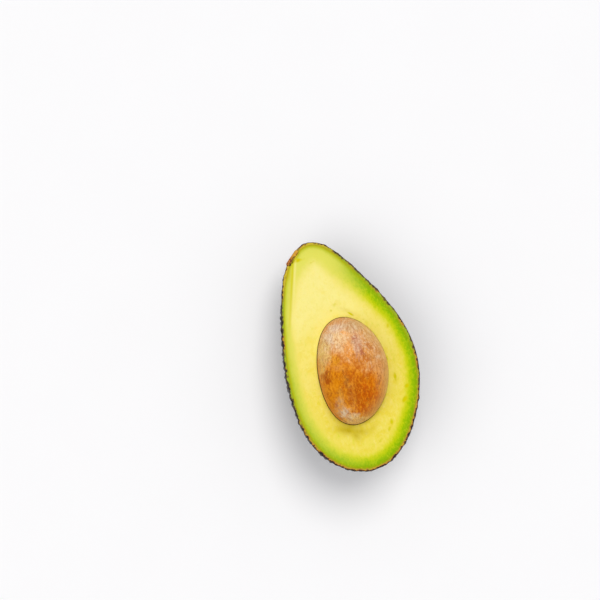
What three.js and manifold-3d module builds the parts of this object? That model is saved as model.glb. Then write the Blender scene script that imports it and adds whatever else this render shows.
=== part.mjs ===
// Half of a ripe, pebble-skinned avocado with its stone, lying on its back with the cut face up.
// Millimetres, +Z up, the stem end towards +Y. The origin is on the resting surface, under the
// middle of the fruit's bounding box.

import * as THREE from "three";
import { mergeVertices } from "three/addons/utils/BufferGeometryUtils.js";
import Module from "manifold-3d";

// Fruit: its length, and two polynomials of the station, which runs from -1 at the blossom end
// to +1 at the stem end. GIRTH is the half width that a sphere's round is scaled by, and BEND is
// how far the middle of the width stands to the right of the long axis.
const FRUIT_LENGTH = 110;
const GIRTH = [30.5, -7.7, -5.0, 2.4, 3.4];
const BEND = [1.6, -0.1, -9.2, -0.4, 5.8];
const BACK_DEPTH_RATIO = 1.03;
const SKIN_THICKNESS = 1.3;
const PIECE_GAP = 0.3;

// Pose: the stem end dips a little, and the back is pressed flat where it carries the weight.
const STEM_END_DIP = THREE.MathUtils.degToRad(4.5);
const FLAT_SPOT_DEPTH = 1.1;
const FLAT_SPOT_FADE = [7, 16];

// Pebbles of the skin, somewhat larger than life.
const PEBBLE_SPACING = 6.4;
const PEBBLE_ROW_PITCH = 0.87;
const PEBBLE_HEIGHT = 1.1;
const PEBBLE_REACH_RATIO = 0.64;
const PEBBLE_JITTER = 0.28;
const PEBBLE_SEED = 11;
const PEBBLE_WALK_STEPS = 400;
const FEWEST_IN_A_RING = 3;

// Stone: an egg that leans a little to the right of the fruit's axis.
const STONE_LENGTH = 50;
const STONE_WIDTH = 32.6;
const STONE_BEND = 2.2;
const STONE_PLACE = new THREE.Vector3(1.6, -8, 0.4);
const STONE_LEAN = THREE.MathUtils.degToRad(8);

// Knife: the main cut is the plane z = 0, and a second, narrow facet runs down the left edge.
const FACET_TOP = new THREE.Vector3(-11, 47.8, 0);
const FACET_END = new THREE.Vector3(-20.6, 20.3, 0);
const FACET_SLOPE = THREE.MathUtils.degToRad(16);
const KNIFE_SIZE = 300;

// Stem: a corky button in a shallow dimple, towards the left of the blunt end.
const STEM_PLACE = new THREE.Vector3(-11.2, 50.4, 0);
const STEM_TURN = THREE.MathUtils.degToRad(40);
const DIMPLE_RADIUS = 30;
const BUTTON_RADIUS = 4.4;
const BUTTON_INNER_RADIUS = 3.4;
const BUTTON_DEPTH = 1.9;
const BUTTON_STANDS_OUT = 0.4;
const BUTTON_EDGE = 0.6;
const STEM_HOLE_REACH = 30;

// Fineness of the round shapes: splits of an icosahedron's edge, and sides of a turned piece.
const OUTSIDE_DETAIL = 24;
const INSIDE_DETAIL = 11;
const STONE_DETAIL = 8;
const TURNED_SIDES = 28;
const WELD_DISTANCE = 1e-3;

// A linear congruential generator, so that the pebbles fall in the same places on every run.
const RANDOM_FACTOR = 1664525;
const RANDOM_STEP = 1013904223;
const RANDOM_SPAN = 2 ** 32;

const wasm = await Module();
wasm.setup();

/** A polynomial's value, with its coefficients in rising powers. */
function polynomial(coefficients, x) {
  return coefficients.reduceRight((sum, coefficient) => sum * x + coefficient, 0);
}

/** The geometry with only its positions, and with shared vertices joined. */
function welded(geometry) {
  const bare = geometry.clone();
  bare.deleteAttribute("normal");
  bare.deleteAttribute("uv");
  return mergeVertices(bare, WELD_DISTANCE);
}

/** A closed geometry as a solid that can be joined and cut. */
function solidOf(geometry) {
  const shape = welded(geometry);
  return new wasm.Manifold(
    new wasm.Mesh({
      numProp: 3,
      vertProperties: shape.getAttribute("position").array,
      triVerts: new Uint32Array(shape.index.array),
    }),
  );
}

/** A named mesh that shows a solid in a material. */
function meshOf(name, solid, material) {
  const { vertProperties, triVerts } = solid.getMesh();
  const geometry = new THREE.BufferGeometry();
  geometry.setAttribute("position", new THREE.BufferAttribute(new Float32Array(vertProperties), 3));
  geometry.setIndex(new THREE.BufferAttribute(new Uint32Array(triVerts), 1));
  geometry.computeVertexNormals();
  const mesh = new THREE.Mesh(geometry, material);
  mesh.name = name;
  return mesh;
}

/** A unit ball whose every point is moved by a function of its place. */
function warpedBall(detail, place) {
  const geometry = welded(new THREE.IcosahedronGeometry(1, detail));
  const position = geometry.getAttribute("position");
  const point = new THREE.Vector3();
  for (let i = 0; i < position.count; i++) {
    point.fromBufferAttribute(position, i).normalize();
    position.setXYZ(i, ...place(point).toArray());
  }
  geometry.computeVertexNormals();
  return geometry;
}

/** Where a point of the unit ball lies on the whole fruit's surface, a little way inside it. */
function onFruit({ x, y, z }, inset = 0) {
  const girth = polynomial(GIRTH, y) - inset;
  return new THREE.Vector3(
    polynomial(BEND, y) + x * girth,
    y * (FRUIT_LENGTH / 2 - inset),
    z * girth * BACK_DEPTH_RATIO,
  );
}

/** A repeatable source of numbers from 0 to 1. */
function seededRandom(seed) {
  let state = seed;
  return () => {
    state = (state * RANDOM_FACTOR + RANDOM_STEP) % RANDOM_SPAN;
    return state / RANDOM_SPAN;
  };
}

/** The middles of the pebbles, in staggered rings an even distance apart all over the fruit. */
function pebbleCentres() {
  const random = seededRandom(PEBBLE_SEED);
  const centres = [];
  let travelled = 0;
  let before = onFruit(new THREE.Vector3(0, 1, 0));
  for (let step = 1; step < PEBBLE_WALK_STEPS; step++) {
    const polar = (Math.PI * step) / PEBBLE_WALK_STEPS;
    const edge = onFruit(new THREE.Vector3(0, Math.cos(polar), -Math.sin(polar)));
    travelled += edge.distanceTo(before);
    before = edge;
    if (travelled < PEBBLE_SPACING * PEBBLE_ROW_PITCH) continue;
    travelled = 0;
    const ringRadius = Math.sin(polar) * polynomial(GIRTH, Math.cos(polar));
    const count = Math.max(FEWEST_IN_A_RING, Math.round((2 * Math.PI * ringRadius) / PEBBLE_SPACING));
    const offset = random();
    for (let i = 0; i < count; i++) {
      const round = (2 * Math.PI * (i + offset + PEBBLE_JITTER * (random() - 0.5))) / count;
      const height = Math.cos(polar + ((random() - 0.5) * PEBBLE_JITTER * PEBBLE_SPACING) / ringRadius);
      const girth = Math.sqrt(Math.max(0, 1 - height * height));
      centres.push(onFruit(new THREE.Vector3(girth * Math.cos(round), height, girth * Math.sin(round))));
    }
  }
  return centres;
}

/** The whole fruit's pebbled outside. The pebbles fade out round the spot that it rests on. */
function pebbledFruit(restingPoint) {
  const geometry = warpedBall(OUTSIDE_DETAIL, (point) => onFruit(point));
  const centres = pebbleCentres();
  const reach = PEBBLE_SPACING * PEBBLE_REACH_RATIO;
  const position = geometry.getAttribute("position");
  const normal = geometry.getAttribute("normal");
  const point = new THREE.Vector3();
  const outwards = new THREE.Vector3();
  for (let i = 0; i < position.count; i++) {
    point.fromBufferAttribute(position, i);
    outwards.fromBufferAttribute(normal, i);
    const nearest = Math.min(...centres.map((centre) => centre.distanceTo(point)));
    const dome = 1 - Math.min(1, nearest / reach) ** 2;
    const fade = THREE.MathUtils.smoothstep(point.distanceTo(restingPoint), ...FLAT_SPOT_FADE);
    point.addScaledVector(outwards, PEBBLE_HEIGHT * dome * fade);
    position.setXYZ(i, ...point.toArray());
  }
  return geometry;
}

/** Places a geometry that was made along +Y on the stem's own line. */
function alongStem(geometry) {
  return geometry.rotateZ(STEM_TURN).translate(...STEM_PLACE.toArray());
}

/** The corky stem button, turned about the stem's line, grown by a clearance. */
function buttonSolid(clearance, standsOut) {
  const rim = BUTTON_RADIUS + clearance;
  const profile = [
    [0, -BUTTON_DEPTH - clearance],
    [BUTTON_INNER_RADIUS + clearance, -BUTTON_DEPTH - clearance],
    [rim, -BUTTON_EDGE],
    [rim, standsOut - BUTTON_EDGE],
    [rim - BUTTON_EDGE, standsOut],
    [0, standsOut],
  ].map(([radius, height]) => new THREE.Vector2(radius, height));
  return solidOf(alongStem(new THREE.LatheGeometry(profile, TURNED_SIDES)));
}

/** The ball that presses the stem's dimple into the fruit, grown for the layers under the skin. */
function dimpleSolid(inset) {
  const ball = new THREE.IcosahedronGeometry(DIMPLE_RADIUS + inset, INSIDE_DETAIL);
  return solidOf(alongStem(ball.translate(0, DIMPLE_RADIUS, 0)));
}

/** A cube that is larger than the fruit every way. */
function block() {
  return new THREE.BoxGeometry(KNIFE_SIZE, KNIFE_SIZE, KNIFE_SIZE);
}

/** Everything above the cut face, with the second facet that the knife left at the left edge. */
function knifeSolid() {
  const main = block().translate(0, 0, KNIFE_SIZE / 2);
  const edge = new THREE.Vector3().subVectors(FACET_TOP, FACET_END);
  const facet = main
    .clone()
    .rotateY(-FACET_SLOPE)
    .rotateZ(-Math.atan2(edge.x, edge.y))
    .translate(...FACET_TOP.toArray());
  return solidOf(main).add(solidOf(facet));
}

/** A thick slab whose top is level with a height above the resting surface, in the fruit's frame. */
function floorSolid(height, fruit) {
  const slab = block().translate(0, 0, height - KNIFE_SIZE / 2);
  return solidOf(slab.applyMatrix4(fruit.matrix.clone().invert()));
}

/** The stone, grown by a clearance. */
function stoneSolid(clearance) {
  const halfWidth = STONE_WIDTH / 2 + clearance;
  const geometry = warpedBall(
    STONE_DETAIL,
    ({ x, y, z }) =>
      new THREE.Vector3(
        x * halfWidth - STONE_BEND * y * y,
        y * (STONE_LENGTH / 2 + clearance),
        z * halfWidth,
      ),
  );
  return solidOf(geometry.rotateZ(-STONE_LEAN).translate(...STONE_PLACE.toArray()));
}

/** The fruit's group, turned to its resting pose and lowered until its back is pressed flat. */
function restingFruit() {
  const fruit = new THREE.Group();
  fruit.rotation.x = -STEM_END_DIP;
  fruit.updateMatrix();
  const back = warpedBall(OUTSIDE_DETAIL, (point) => onFruit(point)).applyMatrix4(fruit.matrix);
  back.computeBoundingBox();
  fruit.position.z = -back.boundingBox.min.z - FLAT_SPOT_DEPTH;
  fruit.updateMatrix();
  return fruit;
}

/** The lowest point of the fruit's smooth surface, in the fruit's own frame. */
function lowestPoint(fruit) {
  const smooth = warpedBall(OUTSIDE_DETAIL, (point) => onFruit(point)).getAttribute("position");
  const lowest = new THREE.Vector3(0, 0, Infinity);
  const point = new THREE.Vector3();
  for (let i = 0; i < smooth.count; i++) {
    point.fromBufferAttribute(smooth, i).applyMatrix4(fruit.matrix);
    if (point.z < lowest.z) lowest.copy(point);
  }
  return lowest.applyMatrix4(fruit.matrix.clone().invert());
}

/** Moves the fruit so that the middle of its bounding box is over the origin. */
function centreOverOrigin(fruit) {
  const middle = new THREE.Box3().setFromObject(fruit, true).getCenter(new THREE.Vector3());
  fruit.position.x -= middle.x;
  fruit.position.y -= middle.y;
}

const skinMaterial = new THREE.MeshStandardMaterial({ color: 0x2a2622, roughness: 0.5, metalness: 0 });
const fleshMaterial = new THREE.MeshStandardMaterial({ color: 0xe9df6e, roughness: 0.45, metalness: 0 });
const stoneMaterial = new THREE.MeshStandardMaterial({ color: 0xb5692a, roughness: 0.55, metalness: 0 });
const buttonMaterial = new THREE.MeshStandardMaterial({ color: 0xb07a34, roughness: 0.85, metalness: 0 });

const fruit = restingFruit();
const knife = knifeSolid();
const stemHole = buttonSolid(PIECE_GAP, STEM_HOLE_REACH);

const outside = solidOf(pebbledFruit(lowestPoint(fruit))).subtract(dimpleSolid(0));
const hollow = solidOf(warpedBall(INSIDE_DETAIL, (point) => onFruit(point, SKIN_THICKNESS)))
  .subtract(dimpleSolid(SKIN_THICKNESS))
  .subtract(floorSolid(SKIN_THICKNESS, fruit));
const skin = outside.subtract(floorSolid(0, fruit)).subtract(hollow).subtract(knife).subtract(stemHole);

const fleshInset = SKIN_THICKNESS + PIECE_GAP;
const flesh = solidOf(warpedBall(INSIDE_DETAIL, (point) => onFruit(point, fleshInset)))
  .subtract(dimpleSolid(fleshInset))
  .subtract(floorSolid(fleshInset, fruit))
  .subtract(stoneSolid(PIECE_GAP))
  .subtract(knife)
  .subtract(stemHole);

const button = buttonSolid(0, BUTTON_STANDS_OUT).subtract(knife);

fruit.add(
  meshOf("skin", skin, skinMaterial),
  meshOf("flesh", flesh, fleshMaterial),
  meshOf("stone", stoneSolid(0), stoneMaterial),
  meshOf("stem_button", button, buttonMaterial),
);
centreOverOrigin(fruit);

const avocado = new THREE.Group();
avocado.add(fruit);

export default avocado;
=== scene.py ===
"""Looks of a halved ripe avocado that lies on its back with its stone in place.

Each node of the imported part, skin, flesh, stone and stem_button, is replaced by a finer piece of
the same form. The forms are worked out in the fruit's own frame, in millimetres, with the cut face
at z = 0 and the stem end towards +Y, and are then laid down in the part's frame, in metres.
"""

import logging
import math
from collections.abc import Iterator, Sequence
from dataclasses import dataclass, field, replace
from enum import Enum

import bpy
import numpy as np
from mathutils import Matrix, Vector
from mathutils.kdtree import KDTree


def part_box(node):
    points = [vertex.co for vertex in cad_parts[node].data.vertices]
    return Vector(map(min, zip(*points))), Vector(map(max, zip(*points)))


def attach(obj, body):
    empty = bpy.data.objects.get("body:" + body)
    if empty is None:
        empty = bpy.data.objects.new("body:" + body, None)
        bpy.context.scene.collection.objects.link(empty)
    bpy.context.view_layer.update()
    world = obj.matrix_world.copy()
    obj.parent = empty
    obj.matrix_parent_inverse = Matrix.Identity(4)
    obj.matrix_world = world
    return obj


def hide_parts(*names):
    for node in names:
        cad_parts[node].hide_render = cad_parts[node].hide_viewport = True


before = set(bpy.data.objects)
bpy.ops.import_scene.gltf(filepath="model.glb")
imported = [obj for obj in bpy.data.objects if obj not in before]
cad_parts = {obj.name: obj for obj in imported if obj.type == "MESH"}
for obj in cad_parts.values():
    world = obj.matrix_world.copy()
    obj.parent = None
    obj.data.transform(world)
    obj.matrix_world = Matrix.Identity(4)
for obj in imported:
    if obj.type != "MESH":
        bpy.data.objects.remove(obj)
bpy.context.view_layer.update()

log = logging.getLogger("avocado")

MM = 0.001
FULL_TURN = 2 * math.pi
QUARTER_TURN = math.pi / 2

# The box of the stone is measured from so many points each way.
BOX_STEPS = 181
# The cut is searched for between these angles below a ball's middle, by halving so many times.
CUT_SEARCH = (-0.3, 0.9)
HALVINGS = 30
# How much finer an outline is walked than the points that are spread evenly along it.
OUTLINE_FINENESS = 8
# Steps round the hollow's mouth, from which the angle that faces a point is read.
MOUTH_STEPS = 2001

Colour = tuple[float, float, float, float]


class Node(Enum):
    """The part's nodes. Each one's material slot has the same name."""

    SKIN = "skin"
    FLESH = "flesh"
    STONE = "stone"
    STEM_BUTTON = "stem_button"


def srgb(red: int, green: int, blue: int) -> Colour:
    """A colour given as screen values from 0 to 255.

    Args:
        red: Red, as on a screen.
        green: Green, as on a screen.
        blue: Blue, as on a screen.

    Returns:
        The same colour in linear light, opaque.
    """
    linear = [
        v / 12.92 if v <= 0.04045 else ((v + 0.055) / 1.055) ** 2.4
        for v in (red / 255, green / 255, blue / 255)
    ]
    return (*linear, 1.0)


def polynomial(coefficients: Sequence[float], x: np.ndarray) -> np.ndarray:
    """A polynomial's value, with its coefficients in rising powers."""
    return np.polynomial.polynomial.polyval(x, coefficients)


def smoothstep(low: float, high: float, x: np.ndarray) -> np.ndarray:
    """A smooth rise from 0 at low to 1 at high."""
    t = np.clip((x - low) / (high - low), 0.0, 1.0)
    return t * t * (3.0 - 2.0 * t)


def soft_max(a: np.ndarray | float, b: np.ndarray | float, softness: float) -> np.ndarray:
    """The larger of two values, rounded off where they meet."""
    return 0.5 * (a + b + np.sqrt((a - b) ** 2 + softness**2))


def soft_min(a: np.ndarray | float, b: np.ndarray | float, softness: float) -> np.ndarray:
    """The smaller of two values, rounded off where they meet."""
    return -soft_max(-a, -b, softness)


def on_ball(azimuth: np.ndarray, depth: np.ndarray) -> np.ndarray:
    """Points of the unit ball.

    Args:
        azimuth: Angle round the ball from +X towards +Y, in radians.
        depth: Angle below the ball's middle, in radians.

    Returns:
        The points, with x, y and z along the last axis.
    """
    azimuth, depth = np.broadcast_arrays(azimuth, depth)
    return np.stack(
        (np.cos(depth) * np.cos(azimuth), np.cos(depth) * np.sin(azimuth), -np.sin(depth)), axis=-1
    )


@dataclass(frozen=True)
class StoneForm:
    """The stone: an egg that leans a little to the right of the fruit's axis. Millimetres."""

    length: float = 50.0
    width: float = 32.6
    bend: float = 2.2
    place: tuple[float, float, float] = (1.6, -8.0, 0.4)
    lean: float = math.radians(8)

    def surface(self, unit: np.ndarray, clearance: float = 0.0) -> np.ndarray:
        """Where points of the unit ball lie on the stone, in the fruit's frame.

        Args:
            unit: Points of the unit ball.
            clearance: How far outside the stone they are moved.

        Returns:
            The points, in millimetres.
        """
        half_width = self.width / 2 + clearance
        across = unit[..., 0] * half_width - self.bend * unit[..., 1] ** 2
        along = unit[..., 1] * (self.length / 2 + clearance)
        turned = (
            across * math.cos(self.lean) + along * math.sin(self.lean),
            along * math.cos(self.lean) - across * math.sin(self.lean),
            unit[..., 2] * half_width,
        )
        return np.stack(turned, axis=-1) + np.array(self.place)

    def beside(self, points: np.ndarray) -> np.ndarray:
        """About how far beside the stone points lie, seen from above the cut face."""
        off = points[..., :2] - np.array(self.place[:2])
        along = off[..., 1] * math.cos(self.lean) + off[..., 0] * math.sin(self.lean)
        across = off[..., 0] * math.cos(self.lean) - off[..., 1] * math.sin(self.lean)
        across = across + self.bend * (along / (self.length / 2)) ** 2
        reach = np.hypot(across / (self.width / 2), along / (self.length / 2))
        # Inside the stone the result is 0, so a least reach there only avoids dividing by 0.
        return np.maximum((reach - 1) * np.hypot(across, along) / np.maximum(reach, 0.1), 0.0)

    def depth_at_cut(self, clearance: float) -> float:
        """How far below its middle the unit ball's cut face is, in radians."""
        return math.asin(self.place[2] / (self.width / 2 + clearance))


@dataclass(frozen=True)
class StemForm:
    """The corky stem button and the dimple that it sits in. Millimetres."""

    place: tuple[float, float, float] = (-11.2, 50.4, 0.0)
    turn: float = math.radians(40)
    dimple_radius: float = 30.0
    dimple_softness: float = 0.5
    radius: float = 4.4
    inner_radius: float = 3.4
    depth: float = 1.9
    stands_out: float = 0.4
    edge: float = 0.6

    @property
    def line(self) -> np.ndarray:
        """The stem's direction, out of the fruit."""
        return np.array((-math.sin(self.turn), math.cos(self.turn), 0.0))

    @property
    def side(self) -> np.ndarray:
        """The direction across the stem, in the cut face."""
        return np.array((math.cos(self.turn), math.sin(self.turn), 0.0))

    def dimpled(self, points: np.ndarray, inset: float) -> np.ndarray:
        """Presses points down onto the ball that the dimple is shaped by.

        Args:
            points: Points of the fruit's surface.
            inset: How far the layer lies under the skin's outside.

        Returns:
            The pressed points.
        """
        centre = np.array(self.place) + self.line * self.dimple_radius
        radius = self.dimple_radius + inset
        from_centre = points - centre
        along = from_centre @ self.line
        off_line = (from_centre**2).sum(axis=-1) - along**2
        ball = -np.sqrt(np.maximum(radius**2 - off_line, 0.0))
        pressed = soft_min(along, ball, self.dimple_softness)
        pressed = np.where(off_line < radius**2, pressed, along)
        return points + (pressed - along)[..., None] * self.line

    def off_line(self, points: np.ndarray) -> np.ndarray:
        """How far points are from the stem's line."""
        from_place = points - np.array(self.place)
        along = from_place @ self.line
        return np.sqrt(np.maximum((from_place**2).sum(axis=-1) - along**2, 0.0))


@dataclass(frozen=True)
class Fruit:
    """The half fruit's form in its own frame, and how it lies. Millimetres and radians.

    girth and bend are polynomials of the station, which runs from -1 at the blossom end to +1 at
    the stem end: the half width that a ball's round is scaled by, and how far the middle stands to
    the right of the long axis.
    """

    length: float = 110.0
    girth: tuple[float, ...] = (30.5, -7.7, -5.0, 2.4, 3.4)
    bend: tuple[float, ...] = (1.6, -0.1, -9.2, -0.4, 5.8)
    back_depth_ratio: float = 1.03
    skin_thickness: float = 1.3
    stem_end_dip: float = math.radians(4.5)
    floor_softness: float = 0.2
    facet_top: tuple[float, float] = (-11.0, 47.8)
    facet_end: tuple[float, float] = (-20.6, 20.3)
    facet_slope: float = math.radians(16)
    crease_softness: float = 0.5
    stone: StoneForm = StoneForm()
    stem: StemForm = StemForm()
    offset: tuple[float, float, float] = (0.0, 0.0, 0.0)

    @classmethod
    def lying_in_frame(cls) -> "Fruit":
        """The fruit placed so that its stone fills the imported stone's box."""
        fruit = cls()
        turns = np.linspace(0, FULL_TURN, BOX_STEPS)
        tilts = np.linspace(-QUARTER_TURN, QUARTER_TURN, BOX_STEPS)
        unit = on_ball(*np.meshgrid(turns, tilts))
        own = fruit.to_part(fruit.stone.surface(unit).reshape(-1, 3))
        low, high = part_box(Node.STONE.value)
        offset = (np.array(low + high) - own.min(axis=0) - own.max(axis=0)) / 2 / MM
        return replace(fruit, offset=tuple(offset))

    @property
    def turn_matrix(self) -> np.ndarray:
        """Turns the fruit's own frame into the part's frame."""
        dip_cos, dip_sin = math.cos(self.stem_end_dip), math.sin(self.stem_end_dip)
        return np.array(((1, 0, 0), (0, dip_cos, dip_sin), (0, -dip_sin, dip_cos)))

    def to_part(self, points: np.ndarray) -> np.ndarray:
        """Points of the fruit's own frame in the part's frame, in metres."""
        return (points @ self.turn_matrix.T + np.array(self.offset)) * MM

    def height(self, points: np.ndarray) -> np.ndarray:
        """How high points of the fruit's own frame lie above the resting surface."""
        return points @ self.turn_matrix[2] + self.offset[2]

    def round_surface(self, unit: np.ndarray, inset: float) -> np.ndarray:
        """Where points of the unit ball lie on the whole fruit, before dimple and flat spot."""
        girth = polynomial(self.girth, unit[..., 1]) - inset
        across = polynomial(self.bend, unit[..., 1]) + unit[..., 0] * girth
        along = unit[..., 1] * (self.length / 2 - inset)
        return np.stack((across, along, unit[..., 2] * girth * self.back_depth_ratio), axis=-1)

    def surface(self, unit: np.ndarray, inset: float = 0.0) -> np.ndarray:
        """Where points of the unit ball lie on a layer of the resting fruit.

        Args:
            unit: Points of the unit ball.
            inset: How far the layer lies under the skin's outside.

        Returns:
            The points, with the stem's dimple and the flat spot pressed in.
        """
        points = self.stem.dimpled(self.round_surface(unit, inset), inset)
        height = self.height(points)
        lift = soft_max(height, inset, self.floor_softness) - height
        return points + lift[..., None] * self.turn_matrix[2]

    def left_of_crease(self, points: np.ndarray) -> np.ndarray:
        """How far points lie to the left of the line where the knife's two facets meet."""
        top, end = np.array(self.facet_top), np.array(self.facet_end)
        edge = (top - end) / np.linalg.norm(top - end)
        return (points[..., :2] - top) @ np.array((-edge[1], edge[0]))

    def knife(self, points: np.ndarray) -> np.ndarray:
        """The height of the cut face over points, in the fruit's frame."""
        past = soft_max(self.left_of_crease(points), 0.0, self.crease_softness)
        return -math.tan(self.facet_slope) * past

    def depth_at_cut(self, azimuth: np.ndarray, inset: float) -> np.ndarray:
        """How far below its middle the unit ball meets the cut face, found by halving.

        Args:
            azimuth: Angles round the unit ball.
            inset: How far the layer lies under the skin's outside.

        Returns:
            One depth, in radians, for each angle.
        """
        high = np.full_like(azimuth, CUT_SEARCH[0])
        low = np.full_like(azimuth, CUT_SEARCH[1])
        for _ in range(HALVINGS):
            middle = (high + low) / 2
            points = self.surface(on_ball(azimuth, middle), inset)
            above = points[..., 2] > self.knife(points)
            high = np.where(above, middle, high)
            low = np.where(above, low, middle)
        return (high + low) / 2

    def even_azimuths(self, count: int, inset: float) -> np.ndarray:
        """Angles that divide the cut face's outline into equal steps.

        Args:
            count: How many angles.
            inset: How far the outline lies under the skin's outside.

        Returns:
            The angles, in radians, rising from 0.
        """
        dense = np.linspace(0, FULL_TURN, OUTLINE_FINENESS * count + 1)
        points = self.surface(on_ball(dense, self.depth_at_cut(dense, inset)), inset)
        steps = np.linalg.norm(np.diff(points, axis=0), axis=1)
        travelled = np.concatenate(([0.0], np.cumsum(steps)))
        return np.interp(np.linspace(0, travelled[-1], count, endpoint=False), travelled, dense)


@dataclass
class RingBody:
    """A closed body made of rings of points, closed by a pole at each end.

    Going up its outside, the rings turn from +X towards +Y, so that its faces point outwards.
    """

    rings: list[np.ndarray] = field(default_factory=list)
    values: dict[str, list[np.ndarray]] = field(default_factory=dict)

    def add(self, ring: np.ndarray, **values: np.ndarray | float) -> None:
        """Adds a ring.

        Args:
            ring: Its points, in the fruit's frame.
            values: What the ring holds for the finishes: a number or vector for each point, or one
                for all of them.
        """
        self.rings.append(ring)
        for name, value in values.items():
            value = np.asarray(value, float)
            wide = np.broadcast_to(value, (len(ring), 3) if value.ndim == 2 else (len(ring),))
            self.values.setdefault(name, []).append(wide)

    def faces(self) -> Iterator[tuple[int, ...]]:
        """The faces' corners: a fan round each pole, and a band between each two rings."""
        count, columns = len(self.rings), len(self.rings[0])
        last = 1 + count * columns
        for j in range(columns):
            after = (j + 1) % columns
            yield 0, 1 + after, 1 + j
            yield last, last - columns + j, last - columns + after
        for i in range(count - 1):
            row = 1 + i * columns
            for j in range(columns):
                after = (j + 1) % columns
                yield row + j, row + after, row + columns + after, row + columns + j

    def build(self, name: str, fruit: Fruit) -> bpy.types.Object:
        """Makes the mesh in the part's frame.

        Args:
            name: The object's name.
            fruit: The fruit, for where its frame lies.

        Returns:
            A smooth-shaded object, whose mesh holds the values as attributes.
        """
        mesh = bpy.data.meshes.new(name)
        points = np.concatenate(self._with_poles(self.rings))
        mesh.from_pydata(fruit.to_part(points).tolist(), [], list(self.faces()))
        for key, rows in self.values.items():
            data = np.concatenate(self._with_poles(rows))
            is_vector = data.ndim == 2
            attribute = mesh.attributes.new(key, "FLOAT_VECTOR" if is_vector else "FLOAT", "POINT")
            attribute.data.foreach_set("vector" if is_vector else "value", data.ravel())
        mesh.shade_smooth()
        piece = bpy.data.objects.new(name, mesh)
        bpy.context.scene.collection.objects.link(piece)
        return piece

    @staticmethod
    def _with_poles(rows: Sequence[np.ndarray]) -> list[np.ndarray]:
        """Rows with the mean of the first and of the last one put at the two ends."""
        return [rows[0].mean(axis=0, keepdims=True), *rows, rows[-1].mean(axis=0, keepdims=True)]


class Wire:
    """A node's output, which adds Math nodes where Python's operators are used on it."""

    def __init__(self, graph: "Graph", socket: bpy.types.NodeSocket) -> None:
        """Wraps a socket of a graph."""
        self.graph = graph
        self.socket = socket

    def math(self, operation: str, *operands: "Wire | float") -> "Wire":
        """Adds one Math node.

        Args:
            operation: The Math node's operation.
            operands: What follows this value in it.

        Returns:
            The result.
        """
        sockets = dict(enumerate((self, *operands)))
        return self.graph.add("ShaderNodeMath", {"operation": operation}, sockets)

    def __add__(self, other: "Wire | float") -> "Wire":
        """Adds a value."""
        return self.math("ADD", other)

    def __radd__(self, other: float) -> "Wire":
        """Is added to a value."""
        return self.math("ADD", other)

    def __sub__(self, other: "Wire | float") -> "Wire":
        """Takes a value away."""
        return self.math("SUBTRACT", other)

    def __rsub__(self, other: float) -> "Wire":
        """Is taken away from a value."""
        return (self * -1.0) + other

    def __mul__(self, other: "Wire | float") -> "Wire":
        """Multiplies by a value."""
        return self.math("MULTIPLY", other)

    def __rmul__(self, other: float) -> "Wire":
        """Multiplies a value."""
        return self.math("MULTIPLY", other)

    def __truediv__(self, other: "Wire | float") -> "Wire":
        """Divides by a value."""
        return self.math("DIVIDE", other)

    def step(self, low: float, high: float) -> "Wire":
        """A smooth rise from 0 at low to 1 at high, or a fall where low is the larger.

        Args:
            low: The value that gives 0.
            high: The value that gives 1.

        Returns:
            The result, from 0 to 1.
        """
        settings = {"interpolation_type": "SMOOTHSTEP"}
        sockets = {"Value": self, 1: min(low, high), 2: max(low, high)}
        rise = self.graph.add("ShaderNodeMapRange", settings, sockets)
        return rise if low < high else 1.0 - rise


Value = Wire | float | int | bool | str | Colour | tuple[float, float, float]
Settings = dict[str, object]
Sockets = dict[str | int, Value]


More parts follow.
